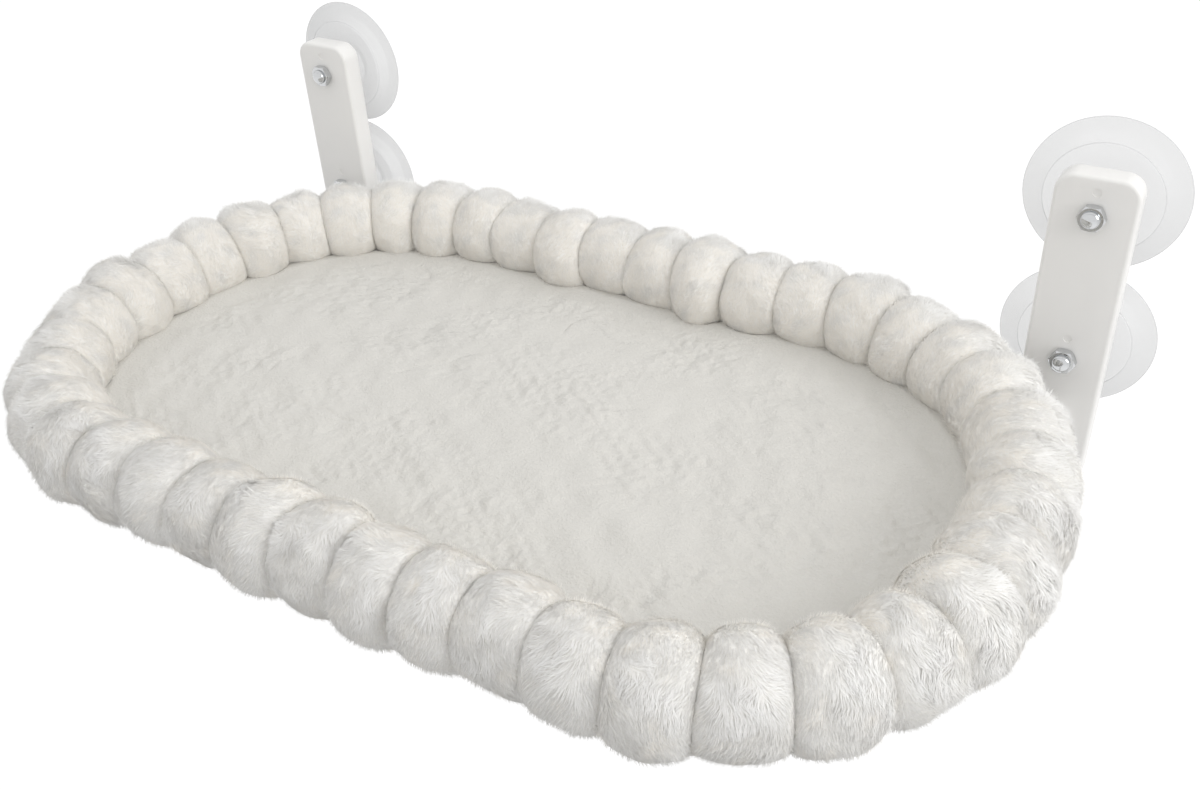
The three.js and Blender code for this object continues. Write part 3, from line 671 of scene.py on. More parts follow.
def feed(tree, made, inputs):
    """Links or sets a node's inputs, given as (socket, output or value)."""
    for socket, value in inputs:
        if isinstance(value, bpy.types.NodeSocket):
            tree.links.new(value, made.inputs[socket])
        else:
            made.inputs[socket].default_value = value


def node(tree, kind, inputs=(), **settings):
    """Adds a node, sets its properties and feeds its inputs."""
    made = tree.nodes.new(kind)
    for key, value in settings.items():
        setattr(made, key, value)
    feed(tree, made, inputs)
    return made


def maths(tree, operation, first, second):
    """The output of a Math node on two numbers, each an output or a value."""
    return node(tree, "ShaderNodeMath", [(0, first), (1, second)], operation=operation).outputs[0]


def noise(tree, place, *inputs):
    """The output of a noise texture at a place."""
    return node(tree, "ShaderNodeTexNoise", [("Vector", place), *inputs]).outputs["Fac"]


def bump(tree, height, depth):
    """The normal of a surface raised by a height from 0 to 1, times a depth."""
    return node(tree, "ShaderNodeBump", [("Height", height), ("Distance", depth)]).outputs[0]


def swing(tree, value, spread, middle):
    """A noise value, centred, scaled by a spread and set about a middle."""
    centred = maths(tree, "SUBTRACT", value, 0.5)
    return maths(tree, "ADD", maths(tree, "MULTIPLY", centred, spread), middle)


def group_of(name, inputs, outputs):
    """An empty shader group with named sockets. Inputs are (name, kind, default)."""
    tree = bpy.data.node_groups.new(name, "ShaderNodeTree")
    for label, kind, default in inputs:
        socket = tree.interface.new_socket(label, in_out="INPUT", socket_type=f"NodeSocket{kind}")
        if default is not None:
            socket.default_value = default
    for label, kind in outputs:
        tree.interface.new_socket(label, in_out="OUTPUT", socket_type=f"NodeSocket{kind}")
    return tree, tree.nodes.new("NodeGroupInput").outputs, tree.nodes.new("NodeGroupOutput")


def mottle_group():
    """Noise of several sizes that lightens and darkens a colour a little."""
    tree, given, end = group_of(
        "mottle",
        [("Color", "Color", (1, 1, 1, 1)), ("Vector", "Vector", None), ("Scale", "Float", 100.0),
         ("Amount", "Float", 0.05)],
        [("Color", "Color"), ("Noise", "Float")],
    )
    spots = noise(tree, given["Vector"], ("Scale", given["Scale"]), ("Detail", 4.0), ("Roughness", 0.6))
    shade = swing(tree, spots, given["Amount"], 1.0)
    tinted = node(tree, "ShaderNodeVectorMath", [(0, given["Color"]), ("Scale", shade)], operation="SCALE")
    feed(tree, end, [("Color", tinted.outputs[0]), ("Noise", spots)])
    return tree


def grain_group():
    """A fine moulded or coated grain, given out as a normal and a change of roughness."""
    tree, given, end = group_of(
        "grain",
        [("Vector", "Vector", None), ("Scale", "Float", 900.0), ("Depth", "Float", 0.02 * MM),
         ("Roughness", "Float", 0.4), ("Spread", "Float", 0.1)],
        [("Normal", "Vector"), ("Roughness", "Float")],
    )
    fine = noise(tree, given["Vector"], ("Scale", given["Scale"]), ("Detail", 2.0))
    coarse = noise(tree, given["Vector"], ("Scale", 60.0), ("Detail", 3.0))
    rough = swing(tree, coarse, given["Spread"], given["Roughness"])
    feed(tree, end, [("Normal", bump(tree, fine, given["Depth"])), ("Roughness", rough)])
    return tree


def weave_group():
    """A plain weave on flat coordinates, as a height and a shade, the shade painting darker hollows between
    the threads.
    """
    tree, given, end = group_of(
        "weave",
        [("Vector", "Vector", None), ("Scale", "Float", 500.0)],
        [("Height", "Float"), ("Shade", "Float")],
    )
    inputs = [("Vector", given["Vector"]), ("Scale", given["Scale"]), ("Distortion", 0.4)]
    warp, weft = (node(tree, "ShaderNodeTexWave", inputs, bands_direction=run).outputs["Fac"] for run in "XY")
    height = maths(tree, "MAXIMUM", warp, weft)
    # Painted shade: the weave is darker where it is lower, between the threads
    shade = node(tree, "ShaderNodeMapRange", [("Value", height), ("To Min", 0.88), ("To Max", 1.0)])
    feed(tree, end, [("Height", height), ("Shade", shade.outputs[0])])
    return tree


groups = {}


def shared(name):
    """The shared node group of that name, built on first use."""
    if name not in groups:
        groups[name] = {"mottle": mottle_group, "grain": grain_group, "weave": weave_group}[name]()
    return groups[name]


def placed(tree, name, *inputs):
    """A shared group set in a material, with its inputs fed."""
    return node(tree, "ShaderNodeGroup", inputs, node_tree=shared(name))


def new_material(name, **constants):
    """A material with a Principled shader whose plain sockets are set."""
    material = bpy.data.materials.new(name)
    material.use_nodes = True
    shader = material.node_tree.nodes["Principled BSDF"]
    for socket, value in constants.items():
        shader.inputs[socket.replace("_", " ")].default_value = value
    return material, material.node_tree, shader


def own_place(tree):
    """Object coordinates, which the mottle and the grain follow."""
    return node(tree, "ShaderNodeTexCoord").outputs["Object"]


def rgba(colour_):
    return (*colour_, 1.0)


def mottled(tree, place, tint, scale, change):
    """A colour, given as an output or four numbers, with the mottle on it."""
    return placed(tree, "mottle", ("Color", tint), ("Vector", place), ("Scale", scale), ("Amount", change))


def add_grain(tree, shader, place, scale, depth, roughness, spread):
    """Gives a shader a grain and an uneven roughness."""
    inputs = {"Vector": place, "Scale": scale, "Depth": depth, "Roughness": roughness, "Spread": spread}
    grain = placed(tree, "grain", *inputs.items())
    feed(tree, shader, [("Roughness", grain.outputs["Roughness"]), ("Normal", grain.outputs["Normal"])])


def pile_material(pile):
    """White plush pile with painted light: darker and warmer at the roots for painted shade, and a tone that
    paints warm bounce light on the ring's inner side, grey shade on the smooth pile and a white highlight on
    the lit tufts, over random lighter and darker locks.
    """
    material, tree, shader = new_material("plush_pile", Roughness=0.8, Sheen_Weight=0.15, Sheen_Roughness=0.5)
    up = node(tree, "ShaderNodeAttribute", attribute_name="up_the_pile")
    tone = node(tree, "ShaderNodeAttribute", attribute_name="pile_tone")
    # Painted shade: the colour runs from the darker, warmer root colour up to the tip colour
    rise = node(tree, "ShaderNodeMapRange", [("Value", up.outputs["Fac"]), ("From Max", 0.7)])
    ends = [(0, rise.outputs["Result"]), (6, rgba(pile.root)), (7, rgba(pile.tip))]
    mixed = node(tree, "ShaderNodeMix", ends, data_type="RGBA")
    # The tone ramp paints light: warm bounce light at low tone on the inner side, grey shade on the smooth
    # pile, a white highlight at high tone on the lit tufts
    shade = node(tree, "ShaderNodeValToRGB", [("Fac", tone.outputs["Fac"])])
    stops = shade.color_ramp.elements
    stops[0].position, stops[1].position = 0.0, 0.95
    stops[0].color, stops[1].color = rgba(pile.painted_warm_bounce), rgba((1.0, 1.0, 1.0))
    stops.new(0.3).color = rgba(pile.open)
    colours = [(0, mixed.outputs[2]), (1, shade.outputs["Color"])]
    tinted = node(tree, "ShaderNodeVectorMath", colours, operation="MULTIPLY")
    feed(tree, shader, [("Base Color", tinted.outputs[0])])
    return material


def cover_material(pile):
    """The backing under the pile, seen only between the strands, in the roots' darker and warmer colour,
    which paints the shade there.
    """
    material, tree, shader = new_material("plush_backing", Roughness=0.95)
    place = own_place(tree)
    mottle = mottled(tree, place, rgba(pile.root), 300.0, 0.1)
    normal = bump(tree, mottle.outputs["Noise"], 0.6 * MM)
    feed(tree, shader, [("Base Color", mottle.outputs["Color"]), ("Normal", normal)])
    return material


def pad_material(pad):
    """Short crushed plush: fine pile grain over broad marks."""
    material, tree, shader = new_material("pad_plush", Roughness=0.9, Sheen_Weight=0.2, Sheen_Roughness=0.5)
    place = own_place(tree)
    broad = mottled(tree, place, rgba(pad.tint), 38.0, 0.08)
    fine = mottled(tree, place, broad.outputs["Color"], 700.0, 0.10)
    normal = bump(tree, fine.outputs["Noise"], 0.8 * MM)
    feed(tree, shader, [("Base Color", fine.outputs["Color"]), ("Normal", normal)])
    return material


def moulded_material(name, tint, roughness, depth=0.02 * MM, scale=900.0, **constants):
    """A moulded, coated or plated finish with a fine grain."""
    material, tree, shader = new_material(name, **constants)
    place = own_place(tree)
    mottle = mottled(tree, place, rgba(tint), 45.0, 0.03)
    feed(tree, shader, [("Base Color", mottle.outputs["Color"])])
    add_grain(tree, shader, place, scale, depth, roughness, 0.12)
    return material


def vinyl_material(tint):
    """Clear soft vinyl, denser where it is seen edge on, as glass is."""
    material, tree, shader = new_material(
        "clear_vinyl", Base_Color=rgba(tint), IOR=1.5, Specular_IOR_Level=0.8
    )
    place = own_place(tree)
    edge = node(tree, "ShaderNodeLayerWeight", [("Blend", 0.5)])
    density = [("Value", edge.outputs["Facing"]), ("From Min", 0.05), ("To Min", 0.16), ("To Max", 0.6)]
    solid = node(tree, "ShaderNodeMapRange", density)
    feed(tree, shader, [("Alpha", solid.outputs["Result"])])
    add_grain(tree, shader, place, 120.0, 0.02 * MM, 0.05, 0.05)
    return material


def cloth_material(tint):
    """The sling's plain woven cloth, whose threads follow its flat layout."""
    material, tree, shader = new_material("woven_cloth", Roughness=0.9, Sheen_Weight=0.1)
    place = own_place(tree)
    layout = node(tree, "ShaderNodeUVMap", uv_map="cloth")
    weave = placed(tree, "weave", ("Vector", layout.outputs["UV"]), ("Scale", 260.0))
    mottle = mottled(tree, place, rgba(tint), 60.0, 0.06)
    # Painted shade in the weave's hollows darkens the cloth's colour
    colours = [(0, mottle.outputs["Color"]), ("Scale", weave.outputs["Shade"])]
    shaded = node(tree, "ShaderNodeVectorMath", colours, operation="SCALE")
    normal = bump(tree, weave.outputs["Height"], 0.4 * MM)
    feed(tree, shader, [("Base Color", shaded.outputs[0]), ("Normal", normal)])
    return material


# Operators


class PERCH_OT_bolster(bpy.types.Operator):
    """Stuffed ring of puffs under the plush"""

    bl_idname = "perch.bolster"
    bl_label = "Bolster cover"

    def execute(self, context):
        bolster, pile = context.scene.perch_bolster, context.scene.perch_pile
        grid = bolster_grid(bolster)
        quads = ring_quads(*grid.shape[:2], closed=True)
        cover = mesh_from_arrays("bolster_cover", grid.reshape(-1, 3), quads.ravel(), np.full(len(quads), 4))
        face_out(cover)
        cutters = []
        for sign in SIDES.values():
            for outline, low, high in hinge_rooms(0.0):
                cutters.append(prism(outline, *sorted((sign * low, sign * high))))
        cut_with(cover, cutters)
        smooth(cover, 60)
        dress(cover, "bed", "bolster_plush", cover_material(pile), "bolster")
        return {"FINISHED"}


class PERCH_OT_pile(bpy.types.Operator):
    """Plush pile on the bolster"""

    bl_idname = "perch.pile"
    bl_label = "Bolster pile"

    stretches = (
        "front_right", "right_front", "right_rear", "rear_right", "rear_left", "left_rear", "left_front",
        "front_left",
    )

    def execute(self, context):
        bolster, pile = context.scene.perch_bolster, context.scene.perch_pile
        strands, along = grow_pile(bolster, pile)
        material = pile_material(pile)
        stretch = (along * len(self.stretches)).astype(int)
        for index, name in enumerate(self.stretches):
            piece = pile_piece(f"pile_{name}", [values[stretch == index] for values in strands])
            dress(piece, "bed", "bolster_plush", material)
        return {"FINISHED"}


def scattered(grid, count, rng):
    """Evenly scattered places on a closed grid: rows and columns of cells, and shares of the way across."""
    step_along = np.linalg.norm(np.roll(grid, -1, 0) - grid, axis=-1)
    step_around = np.linalg.norm(np.roll(grid, -1, 1) - grid, axis=-1)
    weight = (step_along * step_around).ravel()
    cell = np.searchsorted(np.cumsum(weight / weight.sum()), rng.uniform(size=count)).clip(0, weight.size - 1)
    columns = grid.shape[1]
    return cell // columns, cell % columns, rng.uniform(size=(count, 1)), rng.uniform(size=(count, 1))


def clear_of_neighbours(roots, tips, turn):
    """Which strands keep off the sling, the pad and the hinges."""
    lowest = sling_top + 0.6 * MM
    pad_side = pad_high.z - 4 * MM  # strands on the ring's inner side end here
    keep = np.ones(len(roots), bool)
    for points, margin in ((roots, MM), (tips, 0.5 * MM)):
        keep &= (points[:, 2] > lowest) & ~in_hinge_room(points, margin)
        keep &= ~((np.cos(turn) < -0.1) & (points[:, 2] < pad_side))
    return keep


def grow_pile(bolster, pile):
    """The strands on the bolster, and each one's place round the ring as a share. Strands are roots, tips,
    half widths, ridges, upper normals, under normals and tones, whose tones carry painted light."""
    rng = np.random.default_rng(7)
    grid = bolster_grid(bolster)
    rows, columns = grid.shape[:2]
    count = pile.strands * bolster.puffs
    i, j, a, b = scattered(grid, count, rng)

    def between(values):
        ahead, beside = (i + 1) % rows, (j + 1) % columns
        near = values[i, j] * (1 - b) + values[i, beside] * b
        far = values[ahead, j] * (1 - b) + values[ahead, beside] * b
        return near * (1 - a) + far * a

    roots = between(grid)
    up, ahead, round_ = (unit(between(values)) for values in grid_frames(grid))
    turn = FULL_TURN * (j + b[:, 0]) / columns
    t = towards_seams(((i % bolster.rings) + a[:, 0]) / bolster.rings)
    from_seam = np.clip(np.minimum(t, 1 - t) / 0.2, 0, 1)
    inner = np.clip(-np.cos(turn) * 1.4 + 0.2 * np.sin(turn), 0, 1)

    # Where the pile is tufted, which way it swirls and how long it is. Tufts gather on the top and the right
    # side, which face the lights, and away from the seams; the same mask paints a highlight into the tone
    # below

    lit_side = 0.5 * up[:, 0] + 0.85 * np.sin(turn)
    tufted_and_lit = np.clip(waves(roots, 26 * MM, 21) * 0.55 + lit_side - 0.45 - 1.5 * inner, 0, 1) * from_seam
    swirl = 0.5 * waves(roots, 50 * MM, 11) + (0.15 + 0.4 * tufted_and_lit) * waves(roots, 15 * MM, 12)
    swirl += (0.08 + 0.1 * tufted_and_lit) * rng.normal(size=count)
    reach = pile.length * rng.uniform(0.75, 1.15, count) * (0.8 + 0.2 * from_seam)
    reach *= 0.7 + 0.6 * tufted_and_lit

    # Clumps: each has five random values, of which two are its middle, and pulls the tips that way

    pitch = 2 * Outline(bolster).half / bolster.puffs
    lengthwise = ((i // bolster.rings) + t) * pitch / pile.clump
    crosswise = turn * bolster.radius / pile.clump
    row, column = np.floor(lengthwise).astype(int), np.floor(crosswise).astype(int)
    seeds = rng.uniform(0.1, 0.9, size=(row.max() + 1, column.max() + 1, 5))[row, column]
    pull = ahead * (seeds[:, 0] - (lengthwise - row))[:, None]
    pull += round_ * (seeds[:, 1] - (crosswise - column))[:, None]
    pull *= (pile.clump * (0.04 + 0.14 * tufted_and_lit))[:, None]

    # Each strand's run, with the fine fuzz standing off the rest

    swirl += 1.1 * tufted_and_lit * (seeds[:, 3] - 0.5)
    flow = unit(ahead * np.sin(swirl)[:, None] - round_ * np.cos(swirl)[:, None])
    lift = pile.flat + (pile.raised - pile.flat) * tufted_and_lit * (0.4 + 1.2 * seeds[:, 4])
    lift *= rng.uniform(0.7, 1.3, count)
    fuzz = rng.uniform(size=count) < pile.fuzz
    lift = np.where(fuzz, rng.uniform(0.4, 1.0, count), lift)
    reach = np.where(fuzz, reach * 0.95, reach)
    run = flow * np.cos(lift)[:, None] + up * np.sin(lift)[:, None]
    tips = roots + run * reach[:, None] + pull
    run = unit(tips - roots)
    across = unit(np.cross(run, up))
    over = np.cross(across, run)

    # Shading normals, width and tone. The tone paints light: raised on the lit tufts for a painted highlight,
    # lowered on the ring's inner side towards painted warm bounce light, with random variation on top

    follow = np.where(fuzz, 0.5, pile.follow)[:, None]
    upper = unit(up * follow + over * (1 - follow) + 0.05 * rng.normal(size=(count, 3)))
    under = unit(run - 0.6 * over)
    radius = (pile.radius * rng.uniform(0.8, 1.2, count) * np.where(fuzz, 0.45, 1))[:, None]
    # Painted light in the tone: higher on the lit tufts, lower towards the warm bounce colour on the inner
    # side; the waves and random terms are the pile's own variation
    tone = 0.34 - 0.3 * inner + 0.6 * tufted_and_lit + 0.1 * waves(roots, 12 * MM, 51)
    tone += 0.35 * tufted_and_lit * (seeds[:, 2] - 0.5)
    tone = (tone + 0.07 * rng.normal(size=count)).clip(0.03, 0.97)

    keep = clear_of_neighbours(roots, tips, turn)
    strands = (roots, tips, across * radius, over * radius * 0.4, upper, under, tone)
    return [values[keep] for values in strands], (i[keep] + a[keep, 0]) / rows


class PERCH_OT_pad(bpy.types.Operator):
    """Plush pad on the sling"""

    bl_idname = "perch.pad"
    bl_label = "Pad"

    def execute(self, context):
        bolster, pad = context.scene.perch_bolster, context.scene.perch_pad
        outline = Outline(bolster)
        inset = bolster.half_width - pad_high.x - pad.tuck
        bpy.ops.object.select_all(action="DESELECT")
        bpy.ops.mesh.primitive_grid_add(x_subdivisions=pad.across, y_subdivisions=pad.along, size=2)
        piece = context.active_object
        piece.name = piece.data.name = "pad_cushion"
        flat = np.array([v.co[:2] for v in piece.data.vertices])
        edge = np.abs(flat).max(1)
        u, v = (flat / np.maximum(edge, 1e-9)[:, None]).T
        along, middle, normal = rim_places(outline, u, v)
        rim = middle - normal * inset
        xy = outline.centre + (rim - outline.centre) * edge[:, None]
        reach = ((middle - xy) * normal).sum(1)
        along += (xy - rim)[:, 1] * normal[:, 0] - (xy - rim)[:, 0] * normal[:, 1]
        points = at_height(xy, pad_surface(bolster, pad, edge, reach, along))
        marks_from, marks_fade = 26 * MM, 14 * MM  # the marks come in past the puffs
        points[:, 2] += pad.crush * crushed(points) * np.clip((reach - marks_from) / marks_fade, 0, 1)
        piece.data.vertices.foreach_set("co", points.astype(np.float32).ravel())
        piece.data.update()
        close_under(piece, pad_low.z + 0.2 * MM)
        face_out(piece)
        smooth(piece, 70)
        dress(piece, "bed", "pad_plush", pad_material(pad), "pad")
        return {"FINISHED"}


def close_under(piece, low):
    """Draws an open sheet's rim down to a height and closes it there."""
    with editing(piece, "DESELECT"):
        bpy.ops.mesh.select_mode(type="EDGE")
        bpy.ops.mesh.select_non_manifold()
        bpy.ops.mesh.extrude_edges_move()
        mesh = bmesh.from_edit_mesh(piece.data)
        for vertex in mesh.verts:
            if vertex.select:
                vertex.co.z = low
        bmesh.update_edit_mesh(piece.data)
        bpy.ops.mesh.edge_face_add()


def pad_surface(bolster, pad, edge, reach, along):
    """Heights of the pad's top: a low crown, a roll along the rim, and the rim pressed down by the puffs.
    Reach is the distance inwards from the ring's centre line."""
    dip = 0.4 * MM  # from the solid's top to the crown
    roll_from, roll_fade = 24 * MM, 7 * MM
    sunk = 0.5 * MM  # how far the puffs sink into the pad
    past_puffs = bolster_z + 5 * MM  # higher than the crown, so that only the puffs press
    blend = 1.2 * MM
    pitch = 2 * Outline(bolster).half / bolster.puffs
    place = along / pitch - bolster.phase
    puff = np.floor(place).astype(int) % bolster.puffs
    bulge = puff_bulge(bolster, np.mod(place, 1))
    plump, _, shifts = puff_strays(bolster)
    radius = puff_radius(bolster, plump[puff], bulge) - sunk - shifts[puff, 0] * bulge
    crown = pad_high.z - dip - pad.crown * edge**2
    crown += pad.roll * np.exp(-np.clip(reach - roll_from, 0, None) / roll_fade)
    under_puffs = bolster_z - np.sqrt(np.clip(radius**2 - reach**2, 0, None))
    pressed = np.where(reach < radius, under_puffs, past_puffs)
    mixed = np.clip(0.5 + (pressed - crown) / (2 * blend), 0, 1)
    return pressed + (crown - pressed) * mixed - blend * mixed * (1 - mixed)


def rim_places(outline, u, v):
    """Distances along the ring, its points and its normals for the sides of a square from -1 to 1."""
    far = 1 - 1e-9
    sides = [v <= -far, u >= far, v >= far]
    around = np.select(sides, [u / 8, (2 + v) / 8, (4 - u) / 8], -(2 + v) / 8)
    along = around * 2 * outline.half
    return along, *outline.at(along)


def crushed(points):
    """Heights of crushed pile: small tufts in groups and thin swirling partings, over a few broad waves."""
    bend = points.copy()
    bend[:, 0] += 9 * MM * waves(points, 45 * MM, 31)
    bend[:, 1] += 9 * MM * waves(points, 45 * MM, 32)
    tufts = waves(points, 9 * MM, 35, 20) * 0.3 + waves(points, 5 * MM, 37, 24) * 0.22
    tufts += waves(points, 3 * MM, 40, 24) * 0.12
    patches = np.clip(0.6 + 0.4 * waves(points, 60 * MM, 34), 0.2, 1.1)
    partings = np.exp(-((waves(bend, 60 * MM, 33, 8) / 0.09) ** 2))
    partings *= np.clip(waves(points, 70 * MM, 38), 0, 1)
    heights = tufts * patches - 0.9 * partings
    heights += 0.9 * waves(points, 110 * MM, 36)
    return heights + 0.45 * waves(points, 24 * MM, 39)


class PERCH_OT_sling(bpy.types.Operator):
    """Cloth sling with its hem round the tube"""

    bl_idname = "perch.sling"
    bl_label = "Sling"

    def execute(self, context):
        sling = context.scene.perch_sling
        outline = Outline(context.scene.perch_bolster, sling.inset)
        path, run = hem_path(sling)
        piece = sling_cloth_piece(*sling_rings(outline, sling, path, run), sling)
        dress(piece, "bed", "sling_cloth", cloth_material(sling.tint), "sling")
        stitches = hem_stitches(outline, sling, path)
        dress(stitches, "bed", "sling_cloth", moulded_material("thread", sling.thread, 0.6))
        return {"FINISHED"}


def hem_path(sling):
    """The hem's middle line in (outward, upward) points from the tube's centre, and the cloth up to each."""
    radius = tube_radius + 0.3 * MM + sling.cloth / 2  # with a little ease round the tube
    top = sling_top - tube_z - sling.cloth / 2
    under = top - sling.cloth - 0.1 * MM
    turns = np.linspace(math.pi / 2, math.radians(-205), 22)
    arc = [(radius * math.cos(a), min(radius * math.sin(a), top)) for a in turns]
    panel = [(-10 * MM, top), (-4 * MM, top)]
    bend = (-radius - 1.2 * MM, under)
    last = (-radius - 0.6 * MM - sling.overlap, under)
    path = [*panel, *arc, bend, last]
    run = np.concatenate([[0], np.cumsum([math.dist(a, b) for a, b in zip(path, path[1:])])])
    return path, run


def sling_rings(outline, sling, path, run):
    """Rings of points from the panel's middle out and round the tube, their flat layout, and which faces
    are left out."""
    panel_edge = 24 * MM  # from the tube's centre line in to the panel's flat rings
    gather_pitch, gather_from = 9 * MM, 20 * MM  # width of a gather, and cloth over which gathers come in
    along = 2 * outline.half * np.arange(sling.stations) / sling.stations
    middle, normal = outline.at(along)
    inner = middle - normal * panel_edge
    spread = [outline.centre + (inner - outline.centre) * part for part in np.linspace(0.1, 1, 8)]
    points = [at_height(xy, tube_z + path[0][1]) for xy in spread]
    panel_rings = len(points)
    for (out, up), gone in zip(path, run):
        gathers = sling.gathers * np.sin(along * FULL_TURN / gather_pitch) * np.clip(gone / gather_from, 0, 1)
        points.append(at_height(middle + normal * out, tube_z + up - gathers))
        spread.append(middle + normal * (path[0][0] + gone))

    in_hem = np.arange(len(points) - 1) >= panel_rings
    low_hem = np.zeros(len(points) - 1, bool)
    low_hem[panel_rings:] = [(a[1] + b[1]) / 2 < 0.2 * MM for a, b in zip(path, path[1:])]
    opened = np.zeros((len(points) - 1, sling.stations), bool)
    for (near, far), rings in ((HINGE_NOTCH, in_hem), (SCREW_OPENING, low_hem)):
        here = (middle[:, 1] > near) & (middle[:, 1] < far) & (np.abs(middle[:, 0]) > BED_END)
        opened |= rings[:, None] & (here & np.roll(here, -1))[None, :]
    return np.array(points), np.array(spread), opened


def sling_cloth_piece(points, spread, opened, sling):
    """The sling from its rings, thickened. Its flat layout is its UV map."""
    rings, count = points.shape[:2]
    quads = ring_quads(rings, count, closed=False)[~opened.ravel()]
    faces = [tuple(range(count)), *map(tuple, quads.tolist())]
    piece = piece_of("sling_cloth", points.reshape(-1, 3), faces)
    layer = piece.data.uv_layers.new(name="cloth")
    corners = np.empty(len(piece.data.loops), np.int32)
    piece.data.loops.foreach_get("vertex_index", corners)
    layer.data.foreach_set("uv", spread.reshape(-1, 2)[corners].astype(np.float32).ravel())
    with editing(piece):
        bpy.ops.mesh.delete_loose()
    face_out(piece)
    thick = piece.modifiers.new("cloth", "SOLIDIFY")
    thick.thickness = sling.cloth
    thick.offset = 0
    apply_modifiers(piece)
    smooth(piece, 50)
    return piece


def hem_stitches(outline, sling, path):
    """A row of stitches along the hem's overlap, drawn as short low humps."""
    from_edge = 3 * MM  # from the cloth's edge to the row
    clear = 4 * MM  # the row stops this far from a notch or an opening
    size = np.array([sling.stitch, 2 * MM, -1.2 * MM])
    shape = [(-0.5, 0, 0), (-0.25, 0.28, 0.3), (-0.25, -0.28, 0.3), (0.25, 0.28, 0.3), (0.25, -0.28, 0.3),
             (0.5, 0, 0), (-0.25, 0, -0.1), (0.25, 0, -0.1)]
    faces = [(0, 1, 2), (1, 3, 4, 2), (3, 5, 4), (0, 6, 1), (1, 6, 7, 3), (3, 7, 5), (0, 2, 6), (2, 4, 7, 6),
             (4, 5, 7)]
    count = int(2 * outline.half / (sling.stitch * 1.3))
    middle, normal = outline.at(2 * outline.half * np.arange(count) / count)
    keep = np.ones(count, bool)
    for near, far in (HINGE_NOTCH, SCREW_OPENING):
        beside = (middle[:, 1] > near - clear) & (middle[:, 1] < far + clear)
        keep &= ~((np.abs(middle[:, 0]) > BED_END) & beside)
    middle, normal = middle[keep], normal[keep]
    underside = tube_z + (path[-1][1] - sling.cloth / 2)
    place = at_height(middle + normal * (path[-1][0] + from_edge), underside)
    side = at_height(normal, 0)
    tangent = np.stack([-normal[:, 1], normal[:, 0], 0 * normal[:, 0]], -1)
    up = np.array([0, 0, 1])
    points = [place + tangent * x + side * y + up * z for x, y, z in np.array(shape) * size]
    first = np.arange(len(place)) * len(shape)
    loops = (first[:, None] + np.concatenate(faces)).ravel()
    sizes = np.tile([len(f) for f in faces], len(place))
    piece = mesh_from_arrays("hem_stitches", np.stack(points, 1).reshape(-1, 3), loops, sizes)
    face_out(piece)
    smooth(piece, 80)
    return piece


class PERCH_OT_cups(bpy.types.Operator):
    """Four clear suction cups with their studs and acorn nuts"""

    bl_idname = "perch.cups"
    bl_label = "Cups, studs and nuts"

    def execute(self, context):
        scene = context.scene
        cups, nuts, finish = scene.perch_cups, scene.perch_nuts, scene.perch_finish
        vinyl = vinyl_material(finish.vinyl)
        zinc = moulded_material("zinc_plate", finish.zinc, 0.3, Metallic=1.0)
        chrome = moulded_material("chrome_plate", finish.chrome, 0.06, depth=0.004 * MM, Metallic=1.0)
        for side in SIDES:
            for level in LEVELS:
                corner = f"{level}_{side}"
                low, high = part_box(f"{corner}_suction_cup")
                place = Vector(((low.x + high.x) / 2, 0, (low.z + high.z) / 2))
                cup = turned(f"{corner}_cup", cup_profile(cups), cups.steps, place)
                smooth(cup, 50)
                dress(cup, "window_mounts", "clear_pvc", vinyl, f"{corner}_suction_cup")
                stud = turned(f"{corner}_stud", stud_profile(cups), 48, place)
                smooth(stud, 40)
                dress(stud, "window_mounts", "zinc_steel", zinc, f"{corner}_cup_stud")
                nut = acorn_nut(f"{corner}_dome_nut", nuts, place)
                dress(nut, "window_mounts", "chrome_nut", chrome, f"{corner}_acorn_nut")
        return {"FINISHED"}


def cup_profile(cups):
    """A cup's section: hollow, sealing ring, rim, step, skirt, boss, and the pocket that the stud fills."""
    outer = (cup_high.x - cup_low.x) / 2
    seal = outer - cups.seal_width
    step, boss, boss_top = cups.step_diameter / 2, cups.boss_diameter / 2, -cup_low.y
    shank = cups.shank + cups.clearance
    head = (stud_high.x - stud_low.x) / 2 + cups.clearance
    head_low = -stud_high.y - cups.clearance
    head_high = -stud_high.y + cups.head + cups.clearance
    return rounded([
        (0, cups.dish), (seal * 0.5, cups.dish), (seal, 0.05 * MM), (outer, 0), (outer, cups.rim),
        (step, cups.step_foot), (step, cups.step_top), (boss + cups.skirt, cups.skirt_foot),
        (boss, cups.skirt_top), (boss, boss_top), (shank, boss_top), (shank, head_high), (head, head_high),
        (head, head_low), (0, head_low),
    ], cups.softness)


def stud_profile(cups):
    """A stud's section: a disc head and a plain shank."""
    head, head_low, tip = (stud_high.x - stud_low.x) / 2, -stud_high.y, -stud_low.y
    head_high = head_low + cups.head
    return rounded([
        (0, head_low), (head, head_low), (head, head_high), (cups.shank, head_high), (cups.shank, tip),
        (0, tip),
    ], cups.head_edge)


